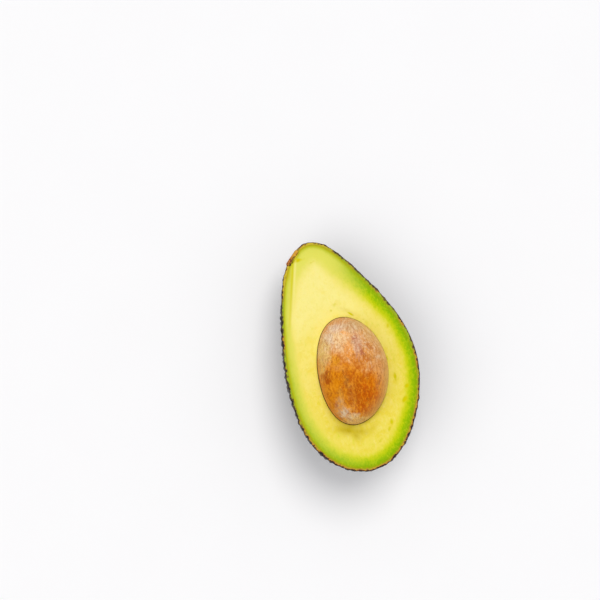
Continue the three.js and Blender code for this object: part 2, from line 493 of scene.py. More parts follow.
class Graph:
    """Adds nodes to a tree, for a material or for Geometry Nodes."""

    def __init__(self, tree: bpy.types.NodeTree) -> None:
        """Takes the tree that the nodes go into."""
        self.tree = tree

    def node(
        self, kind: str, settings: Settings | None = None, sockets: Sockets | None = None
    ) -> bpy.types.Node:
        """Adds one node.

        Args:
            kind: The node's type.
            settings: Its properties, which are set first. stops are a colour ramp's.
            sockets: Values or wires for its inputs, by name or number.

        Returns:
            The node.
        """
        node = self.tree.nodes.new(kind)
        for name, value in (settings or {}).items():
            if name == "stops":
                self._set_stops(node.color_ramp, value)
            else:
                setattr(node, name, value)
        for key, value in (sockets or {}).items():
            if isinstance(value, Wire):
                self.tree.links.new(value.socket, node.inputs[key])
            else:
                node.inputs[key].default_value = value
        return node

    def add(
        self,
        kind: str,
        settings: Settings | None = None,
        sockets: Sockets | None = None,
        out: str | int = 0,
    ) -> Wire:
        """Adds one node and gives one of its outputs.

        Args:
            kind: The node's type.
            settings: Its properties.
            sockets: Values or wires for its inputs.
            out: Which output, by name or number.

        Returns:
            The output.
        """
        return Wire(self, self.node(kind, settings, sockets).outputs[out])

    @staticmethod
    def _set_stops(ramp: bpy.types.ColorRamp, stops: Sequence[tuple[float, Colour]]) -> None:
        """Gives a ramp its stops, in order."""
        while len(ramp.elements) < len(stops):
            ramp.elements.new(1.0)
        for element, (position, colour) in zip(ramp.elements, stops):
            element.position = position
            element.color = colour

    def noise(
        self, place: Wire, size: float, detail: float = 2.0, roughness: float = 0.5
    ) -> Wire:
        """Soft noise, from 0 to 1.

        Args:
            place: Where it is read, in millimetres.
            size: The size of its lumps, in millimetres.
            detail: How many finer layers it has.
            roughness: How strong the finer layers are.

        Returns:
            The noise.
        """
        sockets = {"Vector": place, "Scale": 1 / size, "Detail": detail, "Roughness": roughness}
        return self.add("ShaderNodeTexNoise", sockets=sockets)

    def loosened(self, place: Wire, per_mm: float, detail: float, reach: float) -> Wire:
        """A place pulled about by noise, so that a pattern read there loses its evenness.

        Args:
            place: The place, in millimetres.
            per_mm: How many of the noise's lumps fit into a millimetre.
            detail: How many finer layers the noise has.
            reach: How far the pulls differ at the most, in millimetres.

        Returns:
            The pulled place.
        """
        sockets = {"Vector": place, "Scale": per_mm, "Detail": detail}
        pull = self.add("ShaderNodeTexNoise", sockets=sockets, out="Color")
        pull = self.vector_math("SUBTRACT", pull, (0.5, 0.5, 0.5))
        return self.vector_math("ADD", place, self.vector_math("SCALE", pull, scale=reach))

    def cells(self, place: Wire, size: float, smoothness: float = 0.0) -> Wire:
        """A pattern of irregular cells.

        Args:
            place: Where it is read, in millimetres.
            size: The size of a cell, in millimetres.
            smoothness: How much neighbouring cells melt into each other, or 0 for crisp cells.

        Returns:
            The distance to the nearest cell's middle, in cells.
        """
        sockets = {"Vector": place, "Scale": 1 / size}
        if smoothness:
            sockets["Smoothness"] = smoothness
        settings = {"feature": "SMOOTH_F1" if smoothness else "F1"}
        return self.add("ShaderNodeTexVoronoi", settings, sockets, out="Distance")

    def vector_math(
        self, operation: str, *operands: Value, scale: Value | None = None, out: int = 0
    ) -> Wire:
        """Adds one Vector Math node.

        Args:
            operation: Its operation.
            operands: Its vectors.
            scale: The factor of a SCALE operation.
            out: 0 for the vector, 1 for the value.

        Returns:
            The result.
        """
        sockets: Sockets = dict(enumerate(operands))
        if scale is not None:
            sockets["Scale"] = scale
        return self.add("ShaderNodeVectorMath", {"operation": operation}, sockets, out)

    def stretched(self, place: Wire, scale: tuple[float, float, float]) -> Wire:
        """A place whose three directions are scaled, for a pattern that runs along one of them."""
        return self.vector_math("MULTIPLY", place, scale)

    def vector(self, x: Value, y: Value, z: Value) -> Wire:
        """A vector of three values."""
        return self.add("ShaderNodeCombineXYZ", sockets={"X": x, "Y": y, "Z": z})

    def parts(self, vector: Wire) -> tuple[Wire, Wire, Wire]:
        """A vector's three values."""
        node = self.node("ShaderNodeSeparateXYZ", sockets={"Vector": vector})
        return Wire(self, node.outputs[0]), Wire(self, node.outputs[1]), Wire(self, node.outputs[2])


class Paint(Graph):
    """A material's node tree, with a Principled shader at its end."""

    def __init__(self, name: str, surface: dict[str, Value]) -> None:
        """Makes the material.

        Args:
            name: The material's name.
            surface: Shader sockets that are the same all over.
        """
        self.material = bpy.data.materials.new(name)
        self.material.use_nodes = True
        super().__init__(self.material.node_tree)
        self.tree.nodes.clear()
        self.shader = self.node("ShaderNodeBsdfPrincipled", sockets=surface)
        output = self.node("ShaderNodeOutputMaterial")
        self.tree.links.new(self.shader.outputs["BSDF"], output.inputs["Surface"])

    def finish(
        self, colour: Wire, roughness: Wire | float, normal: Wire | None = None
    ) -> bpy.types.Material:
        """Feeds the shader.

        Args:
            colour: The base colour.
            roughness: The roughness.
            normal: The bumped normal.

        Returns:
            The finished material.
        """
        feeds = {"Base Color": colour, "Roughness": roughness, "Normal": normal}
        for name, value in feeds.items():
            if isinstance(value, Wire):
                self.tree.links.new(value.socket, self.shader.inputs[name])
            elif value is not None:
                self.shader.inputs[name].default_value = value
        return self.material

    def place(self) -> Wire:
        """The surface's place in the part's frame, in millimetres."""
        spot = self.add("ShaderNodeTexCoord", out="Object")
        return self.vector_math("SCALE", spot, scale=1 / MM)

    def value(self, name: str) -> Wire:
        """A number that the mesh holds."""
        return self.add("ShaderNodeAttribute", {"attribute_name": name}, out="Fac")

    def held_vector(self, name: str) -> Wire:
        """A vector that the mesh holds."""
        return self.add("ShaderNodeAttribute", {"attribute_name": name}, out="Vector")

    def mix(self, amount: Wire | float, a: Wire | Colour, b: Wire | Colour) -> Wire:
        """A colour part way from a to b."""
        return self.add("ShaderNodeMix", {"data_type": "RGBA"}, {0: amount, 6: a, 7: b}, out=2)

    def ramp(self, at: Wire, reach: float, stops: Sequence[tuple[float, Colour]]) -> Wire:
        """A colour ramp.

        Args:
            at: The value that it is read at.
            reach: The value at its end.
            stops: Its colours, each with the value where it is reached.

        Returns:
            The colour.
        """
        scaled = [(value / reach, colour) for value, colour in stops]
        return self.add("ShaderNodeValToRGB", {"stops": scaled}, {"Fac": at / reach})

    def bump(self, height: Wire, distance: float) -> Wire:
        """A bumped normal.

        Args:
            height: The relief, from 0 to 1.
            distance: How high 1 stands, in millimetres.

        Returns:
            The normal.
        """
        return self.add("ShaderNodeBump", sockets={"Height": height, "Distance": distance * MM})


Input = float | int | tuple[float, float, float] | bpy.types.Material

SOCKET_TYPES = {
    float: "NodeSocketFloat",
    int: "NodeSocketInt",
    tuple: "NodeSocketVector",
    bpy.types.Material: "NodeSocketMaterial",
}


class Growth(Graph):
    """A Geometry Nodes tree with named inputs."""

    def __init__(self, name: str, **inputs: Input) -> None:
        """Makes the tree.

        Args:
            name: The tree's name.
            inputs: Its inputs with their values.
        """
        super().__init__(bpy.data.node_groups.new(name, "GeometryNodeTree"))
        new_socket = self.tree.interface.new_socket
        new_socket("Geometry", in_out="INPUT", socket_type="NodeSocketGeometry")
        new_socket("Geometry", in_out="OUTPUT", socket_type="NodeSocketGeometry")
        self.values: dict[str, Input] = {}
        for key, value in inputs.items():
            socket = new_socket(key, in_out="INPUT", socket_type=SOCKET_TYPES[type(value)])
            self.values[socket.identifier] = value
        self.group_input = self.node("NodeGroupInput")

    def input(self, name: str) -> Wire:
        """One of the tree's inputs."""
        return Wire(self, self.group_input.outputs[name])

    def held(self, name: str, kind: str = "FLOAT") -> Wire:
        """A value that the mesh holds."""
        return self.add("GeometryNodeInputNamedAttribute", {"data_type": kind}, {"Name": name})

    def store(self, geometry: Wire, name: str, value: Wire | float, kind: str = "FLOAT") -> Wire:
        """Has the mesh hold a value.

        Args:
            geometry: The mesh.
            name: The value's name.
            value: The value.
            kind: FLOAT or FLOAT_VECTOR.

        Returns:
            The mesh.
        """
        sockets = {"Geometry": geometry, "Name": name, "Value": value}
        return self.add("GeometryNodeStoreNamedAttribute", {"data_type": kind}, sockets)

    def random(self, low: float, high: float, seed: int) -> Wire:
        """A random number for each point, from a fixed seed."""
        sockets = {2: low, 3: high, "Seed": seed}
        return self.add("FunctionNodeRandomValue", {"data_type": "FLOAT"}, sockets, out=1)

    def end(self, geometry: Wire, *materials: tuple[str, Wire | bool]) -> None:
        """Realizes the instances and sets the materials.

        Args:
            geometry: What the tree has grown.
            materials: Names of material inputs, each with the faces that it goes on.
        """
        geometry = self.add("GeometryNodeRealizeInstances", sockets={"Geometry": geometry})
        for name, selection in materials:
            sockets = {"Geometry": geometry, "Selection": selection, "Material": self.input(name)}
            geometry = self.add("GeometryNodeSetMaterial", sockets=sockets)
        output = self.node("NodeGroupOutput")
        self.tree.links.new(geometry.socket, output.inputs[0])

    def apply(self, piece: bpy.types.Object) -> None:
        """Grows the tree on a piece and leaves the piece a plain mesh.

        Args:
            piece: The object whose mesh goes in, and whose mesh is replaced.
        """
        modifier = piece.modifiers.new(self.tree.name, "NODES")
        modifier.node_group = self.tree
        for identifier, value in self.values.items():
            modifier[identifier] = value
        settle(piece)


def settle(piece: bpy.types.Object) -> None:
    """Turns a piece's modifiers into a plain mesh and removes them.

    Args:
        piece: The object.
    """
    depsgraph = bpy.context.evaluated_depsgraph_get()
    made = bpy.data.meshes.new_from_object(
        piece.evaluated_get(depsgraph), preserve_all_data_layers=True, depsgraph=depsgraph
    )
    piece.modifiers.clear()
    piece.data = made
    made.shade_smooth()


def cut(piece: bpy.types.Object, cutter: bpy.types.Object) -> None:
    """Cuts one closed body out of another. The cutter is left as it is.

    Args:
        piece: The body that is cut.
        cutter: The body that is taken out of it.
    """
    modifier = piece.modifiers.new("cut", "BOOLEAN")
    modifier.operation = "DIFFERENCE"
    modifier.solver = "MANIFOLD"
    modifier.object = cutter
    settle(piece)


def place_piece(piece: bpy.types.Object, node: Node) -> bpy.types.Object:
    """Has a finished piece stand for a node of the part.

    Args:
        piece: The finished piece.
        node: The node that it replaces, which is hidden.

    Returns:
        The piece.
    """
    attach(piece, "root")
    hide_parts(node.value)
    return piece


@dataclass(frozen=True)
class SkinFinish:
    """Near-black, leathery skin with a waxy satin sheen, and its golden brown cut edge.

    Millimetres. A pair of numbers gives where something starts and where it is full.
    """

    shaded_valley: Colour = srgb(10, 8, 8)
    body: Colour = srgb(23, 19, 20)
    lit_crown: Colour = srgb(54, 48, 48)
    plum: Colour = srgb(58, 28, 26)
    olive: Colour = srgb(42, 48, 18)
    worn_and_lit_top: Colour = srgb(92, 84, 80)
    speck: Colour = srgb(150, 92, 44)
    dull_edge: Colour = srgb(74, 42, 16)
    stem_edge: Colour = srgb(204, 180, 30)
    green_edge: tuple[tuple[float, Colour], ...] = (
        (0.0, srgb(20, 13, 9)),
        (0.2, srgb(36, 21, 8)),
        (0.36, srgb(104, 84, 12)),
        (0.55, srgb(150, 150, 12)),
        (0.8, srgb(160, 182, 12)),
        (1.0, srgb(152, 182, 6)),
    )
    golden_edge: tuple[tuple[float, Colour], ...] = (
        (0.0, srgb(22, 13, 9)),
        (0.24, srgb(56, 27, 8)),
        (0.4, srgb(146, 84, 14)),
        (0.58, srgb(200, 150, 32)),
        (0.82, srgb(186, 160, 24)),
        (1.0, srgb(164, 168, 10)),
    )

    specular: float = 0.32
    patch_size: float = 13.0
    scuff_size: float = 1.4
    speck_spacing: float = 1.7
    speck_group_size: float = 6.0
    edge_start: tuple[float, float] = (0.02, 0.12)
    edge_wander: float = 3.2
    edge_wander_size: float = 2.2
    golden_start: tuple[float, float] = (-16.0, -30.0)
    golden_wander: float = 40.0
    golden_wander_size: float = 5.0
    golden_patch_size: float = 9.0
    stem_reach: tuple[float, float] = (24.0, 10.0)
    dull_size: float = 2.6
    wrinkle_size: float = 1.2
    wrinkle_height: float = 0.34

    def material(self, stem: tuple[float, float, float]) -> bpy.types.Material:
        """Makes the skin's material.

        Args:
            stem: The stem's place in the part's frame, in millimetres.

        Returns:
            The material.
        """
        paint = Paint("skin", {"Specular IOR Level": self.specular})
        place = paint.place()
        edge = paint.value("edge")
        cut_edge = self._cut_edge(paint, place, edge, stem)
        colour = paint.mix(edge.step(*self.edge_start), self._outside(paint, place), cut_edge)
        wrinkles = paint.noise(place, self.wrinkle_size, detail=5.0, roughness=0.65)
        roughness = 0.2 + wrinkles * 0.22 + edge.step(0.05, 0.3) * 0.25
        return paint.finish(colour, roughness, paint.bump(wrinkles, self.wrinkle_height))

    def _outside(self, paint: Paint, place: Wire) -> Wire:
        """The outside: painted shade between the pebbles, painted highlight and wear on their tops,
        with rusty specks.

        Args:
            paint: The material's tree.
            place: The surface's place.

        Returns:
            The colour.
        """
        relief = paint.value("relief")
        patches = paint.noise(place, self.patch_size, detail=4.0, roughness=0.6)
        colour = paint.mix(patches.step(0.48, 0.6) * 0.8, self.body, self.plum)
        colour = paint.mix(patches.step(0.46, 0.36) * 0.8, colour, self.olive)
        # Painted shade in the hollows between the pebbles and a painted highlight on their tops,
        # which stand in for the light on the relief.
        colour = paint.mix(relief.step(0.45, 0.1) * 0.85, colour, self.shaded_valley)
        colour = paint.mix(relief.step(0.35, 0.95) * 0.55, colour, self.lit_crown)
        # Lighter in scuffed patches on the pebbles' tops: partly wear, partly a painted highlight
        # of the skin's sheen.
        scuffs = paint.noise(place, self.scuff_size, detail=4.0, roughness=0.65)
        worn_and_lit = relief.step(0.4, 0.95) * scuffs.step(0.42, 0.66)
        colour = paint.mix(worn_and_lit * 0.65, colour, self.worn_and_lit_top)
        specks = paint.cells(place, self.speck_spacing).step(0.22, 0.12)
        specks = specks * paint.noise(place, self.speck_group_size).step(0.44, 0.58)
        return paint.mix(specks * 0.8, colour, self.speck)

    def _cut_edge(
        self, paint: Paint, place: Wire, edge: Wire, stem: tuple[float, float, float]
    ) -> Wire:
        """The cut edge, from the dark outside to the green inside, in places golden or dull.

        Args:
            paint: The material's tree.
            place: The surface's place.
            edge: How far the surface is through the skin, from 0 to 1.
            stem: The stem's place.

        Returns:
            The colour.
        """
        _, along, _ = paint.parts(place)
        wander = paint.noise(place, self.edge_wander_size, detail=4.0, roughness=0.7) - 0.5
        into = edge + wander * self.edge_wander * edge.step(0.0, 0.3)
        golden = along + (paint.noise(place, self.golden_wander_size) - 0.5) * self.golden_wander
        golden = golden.step(*self.golden_start)
        patches = paint.noise(place, self.golden_patch_size).step(0.54, 0.6)
        by_stem = paint.vector_math("DISTANCE", place, stem, out=1).step(*self.stem_reach)
        golden = golden.math("MAXIMUM", patches).math("MAXIMUM", by_stem)
        into = into + by_stem * edge.step(0.0, 0.2) * 0.25
        colour = paint.ramp(into, 1.0, self.green_edge)
        colour = paint.mix(golden, colour, paint.ramp(into, 1.0, self.golden_edge))
        colour = paint.mix(by_stem * into.step(0.4, 0.65), colour, self.stem_edge)
        dull = paint.noise(place, self.dull_size, detail=3.0).step(0.52, 0.66)
        return paint.mix(dull * edge.step(0.95, 0.5) * 0.8, colour, self.dull_edge)


@dataclass(frozen=True)
class LenticelFinish:
    """The small corky specks that are scattered over the skin."""

    rust: Colour = srgb(146, 78, 40)
    straw: Colour = srgb(132, 114, 62)
    shade: Colour = srgb(70, 42, 26)
    specular: float = 0.3
    roughness: float = 0.7
    grain_size: float = 0.3

    def material(self) -> bpy.types.Material:
        """Makes the specks' material.

        Returns:
            The material.
        """
        paint = Paint("lenticels", {"Specular IOR Level": self.specular})
        colour = paint.mix(paint.value("tone"), self.rust, self.straw)
        grain = paint.noise(paint.place(), self.grain_size, detail=2.0).step(0.3, 0.7)
        return paint.finish(paint.mix(grain * 0.5, colour, self.shade), self.roughness)


@dataclass
class Skin:
    """The pebbled skin: one shell, open where the knife cut it. Millimetres.

    A fade gives where the relief starts and where it is full: above the resting surface, away from
    the stem's line, and below the cut face, where rim_relief of it is always left.
    """

    fruit: Fruit
    columns: int = 640
    outer_rings: int = 112
    rim_rings: int = 8
    inner_rings: int = 24
    rim_round: float = 0.12
    rim_round_reach: float = 0.6
    pebble_spacing: float = 2.9
    pebble_height: float = 0.75
    pebble_side: tuple[float, float] = (0.68, 0.05)
    pebble_melt: float = 0.3
    pebble_least: float = 0.45
    pebble_spread: float = 1.1
    pebble_group: float = 7.0
    pulls_per_mm: float = 0.3
    pull_reach: float = 2.6
    swell_size: float = 9.0
    swell_height: float = 0.45
    wrinkle_size: float = 1.1
    wrinkle_stretch: tuple[float, float, float] = (1.0, 0.6, 1.0)
    wrinkle_height: float = 0.16
    sunk: float = 0.42
    flat_fade: tuple[float, float] = (0.4, 4.0)
    stem_fade: tuple[float, float] = (4.8, 8.0)
    rim_fade: tuple[float, float] = (0.0, 3.0)
    rim_relief: float = 0.55
    speck_spacing: float = 2.1
    speck_crowding: float = 0.7
    speck_radius: float = 0.27
    speck_sizes: tuple[float, float] = (0.45, 1.5)
    speck_stretch: tuple[float, float] = (0.7, 1.6)
    speck_height: float = 0.4
    speck_least_relief: float = 0.85
    seed: int = 5

    def body(self) -> RingBody:
        """The shell before its relief is raised.

        Returns:
            The body, with how much of the relief each point takes, which way it is raised, and how
            deep in the cut edge it is.
        """
        body = RingBody()
        azimuth = self.fruit.even_azimuths(self.columns, 0.0)
        rim = self.fruit.depth_at_cut(azimuth, 0.0)
        for share in np.linspace(0, 1, self.outer_rings + 1)[1:]:
            self._add_ring(body, azimuth, QUARTER_TURN + (rim - QUARTER_TURN) * share, 0.0, 0.0)
        for share in np.linspace(0, 1, self.rim_rings + 1)[1:]:
            inset = self.fruit.skin_thickness * share
            rim = self.fruit.depth_at_cut(azimuth, inset)
            self._add_ring(body, azimuth, rim, inset, share)
        for share in np.linspace(1, 0, self.inner_rings + 1)[1:-1]:
            depth = QUARTER_TURN + (rim - QUARTER_TURN) * share
            self._add_ring(body, azimuth, depth, self.fruit.skin_thickness, 1.0)
        return body

    def _add_ring(
        self, body: RingBody, azimuth: np.ndarray, depth: np.ndarray, inset: float, edge: float
    ) -> None:
        """Adds one ring of the shell.

        Args:
            body: The body that it is added to.
            azimuth: The ring's angles round the unit ball.
            depth: Its angles below the unit ball's middle.
            inset: How far it lies under the skin's outside.
            edge: 0 on the outside and 1 on the inside.
        """
        unit = on_ball(azimuth, depth)
        points = self.fruit.surface(unit, inset)
        below = self.fruit.knife(points) - points[..., 2]
        rounding = self.rim_round * max(1 - edge * 2, 0.0) ** 2
        points[..., 2] -= rounding * smoothstep(self.rim_round_reach, 0.0, below)
        clear = smoothstep(*self.flat_fade, self.fruit.height(points))
        clear *= smoothstep(*self.stem_fade, self.fruit.stem.off_line(points))
        clear *= self.rim_relief + (1 - self.rim_relief) * smoothstep(*self.rim_fade, below)
        outwards = unit @ self.fruit.turn_matrix.T
        body.add(points, raised=clear * (1 - edge) ** 2, outwards=outwards, edge=edge)

    def relief_tree(self, skin: bpy.types.Material, lenticels: bpy.types.Material) -> Growth:
        """The Geometry Nodes that raise the pebbles and scatter the corky specks.

        Args:
            skin: The shell's material.
            lenticels: The specks' material.

        Returns:
            The tree.
        """
        grow = Growth(
            "pebbled skin",
            pebble_height=self.pebble_height,
            swell_height=self.swell_height,
            wrinkle_height=self.wrinkle_height,
            sunk=self.sunk,
            speck_radius=self.speck_radius,
            skin=skin,
            lenticels=lenticels,
        )
        place = grow.vector_math("SCALE", grow.add("GeometryNodeInputPosition"), scale=1 / MM)
        pulled = grow.loosened(place, self.pulls_per_mm, 2.0, self.pull_reach)
        dome = grow.cells(pulled, self.pebble_spacing, self.pebble_melt).step(*self.pebble_side)
        size = grow.noise(place, self.pebble_group, detail=1.0) * self.pebble_spread
        size = self.pebble_least + size
        swell = grow.noise(place, self.swell_size, detail=1.0)
        lengthwise = grow.stretched(place, self.wrinkle_stretch)
        wrinkle = grow.noise(lengthwise, self.wrinkle_size, detail=3.0, roughness=0.6)
        relief = dome * size
        height = relief * grow.input("pebble_height") + swell * grow.input("swell_height")
        height = height + wrinkle * grow.input("wrinkle_height") - grow.input("sunk")
        height = height * grow.held("raised") * MM

        offset = grow.vector_math("SCALE", grow.held("outwards", "FLOAT_VECTOR"), scale=height)
        shell = grow.store(grow.input("Geometry"), "relief", relief)
        shell = grow.add("GeometryNodeSetPosition", sockets={"Geometry": shell, "Offset": offset})
        specks = self._specks(grow, shell)
        joined = grow.node("GeometryNodeJoinGeometry")
        grow.tree.links.new(specks.socket, joined.inputs[0])
        grow.tree.links.new(shell.socket, joined.inputs[0])
        corky = grow.held("corky").math("GREATER_THAN", 0.5)
        grow.end(Wire(grow, joined.outputs[0]), ("skin", True), ("lenticels", corky))
        return grow

    def _specks(self, grow: Growth, shell: Wire) -> Wire:
        """Small flat domes scattered over the outside.

        Args:
            grow: The tree.
            shell: The pebbled shell.

        Returns:
            The domes, as instances.
        """
        spacing = self.speck_spacing * MM
        sockets = {
            "Mesh": shell,
            "Selection": grow.held("raised").math("GREATER_THAN", self.speck_least_relief),
            "Distance Min": spacing,
            "Density Max": self.speck_crowding / spacing**2,
            "Seed": self.seed,
        }
        settings = {"distribute_method": "POISSON"}
        scattered = grow.node("GeometryNodeDistributePointsOnFaces", settings, sockets)
        dome = grow.add("GeometryNodeMeshIcoSphere", sockets={"Radius": MM, "Subdivisions": 1})
        dome = grow.store(dome, "corky", 1.0)
        radius = grow.input("speck_radius") * grow.random(*self.speck_sizes, self.seed)
        width = radius * grow.random(*self.speck_stretch, self.seed + 1)
        sockets = {
            "Points": Wire(grow, scattered.outputs["Points"]),
            "Instance": dome,
            "Rotation": Wire(grow, scattered.outputs["Rotation"]),
            "Scale": grow.vector(radius, width, radius * self.speck_height),
        }
        specks = grow.add("GeometryNodeInstanceOnPoints", sockets=sockets)
        settings = {"data_type": "FLOAT", "domain": "INSTANCE"}
        values = {"Geometry": specks, "Name": "tone", "Value": grow.random(0.0, 1.0, self.seed + 2)}
        return grow.add("GeometryNodeStoreNamedAttribute", settings, values)

    def build(self, stem_hole: bpy.types.Object) -> bpy.types.Object:
        """Builds and dresses the skin.

        Args:
            stem_hole: The body that the stem's hole is cut by.

        Returns:
            The finished piece.
        """
        piece = self.body().build("skin_pebbled", self.fruit)
        cut(piece, stem_hole)
        stem = tuple(self.fruit.to_part(np.array(self.fruit.stem.place)) / MM)
        self.relief_tree(SkinFinish().material(stem), LenticelFinish().material()).apply(piece)
        return place_piece(piece, Node.SKIN)


@dataclass(frozen=True)
class Mark:
    """A soft, longish spot in the flesh. MARKS are strands of the fruit's veins that were cut;
    SHADOWS_AND_BRUISES are mostly painted shadow below the stone, with two bruises.

    Millimetres in the fruit's frame, and the angle in degrees that it runs at, from +X towards +Y.
    """

    across: float
    along: float
    length: float
    width: float
    angle: float
    strength: float

    def amount(self, points: np.ndarray) -> np.ndarray:
        """How much of the mark shows at points of the cut face, from 0 to 1."""
        from_mark = points[..., :2] - np.array((self.across, self.along))
        turn = math.radians(self.angle)
        run = from_mark @ np.array((math.cos(turn), math.sin(turn)))
        off = from_mark @ np.array((-math.sin(turn), math.cos(turn)))
        return self.strength * np.exp(-((run / self.length) ** 2) - (off / self.width) ** 2)


MARKS = (
    Mark(19.8, -16.2, 2.6, 1.0, 84, 0.7),
    Mark(23.7, -21.9, 1.5, 1.1, 20, 0.8),
    Mark(21.1, -27.6, 2.2, 1.2, 42, 0.8),
    Mark(12.2, -36.0, 1.8, 1.0, 75, 0.7),
    Mark(10.3, -38.8, 1.7, 0.9, 62, 0.6),
    Mark(4.9, -42.7, 1.6, 0.8, 50, 0.5),
    Mark(7.9, 17.6, 2.2, 0.6, -46, 0.8),
    Mark(1.8, 23.5, 1.8, 1.2, 20, 0.4),
    Mark(23.2, 7.4, 1.5, 0.9, 75, 0.6),
    Mark(18.4, -7.0, 2.4, 1.0, 84, 0.6),
    Mark(-9.0, -43.5, 2.0, 1.1, 10, 0.3),
    Mark(-9.8, 48.5, 3.6, 1.1, -6, 0.95),
    Mark(-3.0, 45.6, 2.4, 0.7, 12, 0.45),
    Mark(-0.4, 21.4, 0.9, 0.9, 0, 0.45),
    Mark(13.0, 13.4, 0.9, 0.6, -30, 0.5),
)

# The four spots below the stone are painted shadow that the stone casts on the flesh; the other two
# are bruises.
SHADOWS_AND_BRUISES = (
    Mark(-8.6, -34.0, 5.6, 2.2, -24, 1.0),
    Mark(-5.6, -37.2, 3.0, 2.0, -50, 0.85),
    Mark(2.6, -36.4, 3.4, 1.6, 30, 0.35),
    Mark(-4.2, -36.0, 5.6, 2.0, -16, 0.85),
    Mark(7.0, 19.2, 4.6, 1.0, -40, 0.25),
    Mark(-14.8, 43.2, 3.6, 1.1, 68, 0.7),
)


@dataclass(frozen=True)
class FleshFinish:
    """Moist, buttery flesh: cream in the middle, through yellow, to lime green under the skin.

    Millimetres. A pair of numbers gives where something starts and where it is full. The bands'
    colours each have the depth under the skin at which they are reached.
    """

    cream: Colour = srgb(249, 237, 144)
    butter: Colour = srgb(239, 223, 92)
    straw: Colour = srgb(246, 232, 126)
    lime: Colour = srgb(220, 216, 50)
    yolk: Colour = srgb(234, 215, 62)
    stem_end: Colour = srgb(228, 225, 96)
    band_reach: float = 12.0
    strong_band: tuple[tuple[float, Colour], ...] = (
        (0.0, srgb(168, 172, 14)),
        (0.4, srgb(150, 172, 4)),
        (1.0, srgb(140, 176, 1)),
        (1.6, srgb(148, 186, 1)),
        (2.5, srgb(168, 196, 1)),
        (3.5, srgb(190, 205, 4)),
        (5.0, srgb(216, 215, 32)),
        (7.0, srgb(236, 222, 80)),
        (9.0, srgb(241, 225, 92)),
    )
    weak_band: tuple[tuple[float, Colour], ...] = (
        (0.0, srgb(188, 174, 22)),
        (0.5, srgb(190, 190, 30)),
        (1.0, srgb(197, 203, 52)),
        (1.6, srgb(208, 212, 74)),
        (2.4, srgb(218, 217, 86)),
        (3.4, srgb(224, 221, 94)),
        (4.8, srgb(232, 224, 102)),
        (7.0, srgb(244, 228, 114)),
    )
    mark: Colour = srgb(214, 203, 2)
    leaf: Colour = srgb(118, 178, 0)
    pear: Colour = srgb(206, 214, 34)
    shadow_and_bruise: Colour = srgb(192, 169, 2)
    painted_light_beside_stone: Colour = srgb(255, 244, 112)
    crease_shade: Colour = srgb(212, 202, 24)
    coat: Colour = srgb(128, 84, 22)
    specular: float = 0.03
    soft_weight: float = 0.08
    soft_reach: tuple[float, float, float] = (1.6, 1.2, 0.4)
    fine_size: float = 1.3
    fine_stretch: tuple[float, float, float] = (1.0, 0.5, 1.0)
    band_end: tuple[float, float] = (4.0, 9.0)
    band_wander: float = 1.6
    band_wander_size: float = 7.0
    freckle_size: float = 0.9
    freckle_stretch: tuple[float, float, float] = (1.0, 0.6, 1.0)
    freckle_end: tuple[float, float] = (6.0, 2.5)
    stem_end_start: tuple[float, float] = (34.0, 46.0)
    cloud_size: float = 12.0
    mottle_size: float = 3.2
    streak_size: float = 1.6
    streak_stretch: tuple[float, float, float] = (1.0, 0.12, 1.0)
    below_stone: tuple[float, float] = (-14.0, -30.0)
    fold_light_along: tuple[float, float] = (26.0, 42.0)
    grain_size: float = 0.5
    relief_height: float = 0.1

    def material(self) -> bpy.types.Material:
        """Makes the flesh's material.

        Returns:
            The material.
        """
        surface = {
            "Specular IOR Level": self.specular,
            "Subsurface Weight": self.soft_weight,
            "Subsurface Radius": tuple(reach * MM for reach in self.soft_reach),
            "Subsurface Scale": 1.0,
        }
        paint = Paint("flesh", surface)
        place = paint.place()
        across, along, _ = paint.parts(place)
        stretched = paint.stretched(place, self.fine_stretch)
        fine = paint.noise(stretched, self.fine_size, detail=3.0, roughness=0.6) - 0.5
        depth = self._depth(paint, place, fine)
        band = self._band(paint, place, along, depth)
        middle = self._middle(paint, place, along * 0.018 - across * 0.004, fine)
        inwards = depth.step(*self.band_end)
        colour = paint.mix(inwards, band, middle)
        stretched = paint.stretched(place, self.streak_stretch)
        streaks = paint.noise(stretched, self.streak_size, detail=3.0)
        colour = paint.mix(streaks.step(0.52, 0.7) * inwards * 0.25, colour, self.straw)
        colour = self._marked(paint, colour, along, fine)
        grain = paint.noise(place, self.grain_size, detail=3.0)
        relief = streaks * 0.6 + grain * 0.4
        return paint.finish(colour, 0.42 + grain * 0.14, paint.bump(relief, self.relief_height))

    def _depth(self, paint: Paint, place: Wire, fine: Wire) -> Wire:
        """The depth under the skin that the bands are read at, a little uneven.

        Args:
            paint: The material's tree.
            place: The surface's place.
            fine: The flesh's fine grain, about 0.

        Returns:
            The depth, in millimetres.
        """
        depth = paint.value("depth")
        wander = paint.noise(place, self.band_wander_size, detail=4.0, roughness=0.6) - 0.5
        wander = wander * self.band_wander + fine * 2.0
        return (depth + wander * depth.step(0.0, 3.0)).math("MAXIMUM", 0.0)

    def _band(self, paint: Paint, place: Wire, along: Wire, depth: Wire) -> Wire:
        """The green band under the skin, freckled where it is strong.

        Args:
            paint: The material's tree.
            place: The surface's place.
            along: How far towards the stem end it is.
            depth: Its depth under the skin.

        Returns:
            The colour.
        """
        greenness = paint.value("greenness")
        weak = paint.ramp(depth, self.band_reach, self.weak_band)
        colour = paint.mix(greenness, weak, paint.ramp(depth, self.band_reach, self.strong_band))
        stretched = paint.stretched(place, self.freckle_stretch)
        freckles = paint.noise(stretched, self.freckle_size, detail=4.0, roughness=0.7)
        strength = greenness * depth.step(*self.freckle_end) * 0.42
        colour = paint.mix(freckles.step(0.5, 0.64) * strength, colour, self.leaf)
        colour = paint.mix(freckles.step(0.5, 0.36) * strength, colour, self.pear)
        by_stem = along.step(*self.stem_end_start) * depth.step(0.2, 1.8)
        return paint.mix(by_stem * 0.75, colour, self.stem_end)

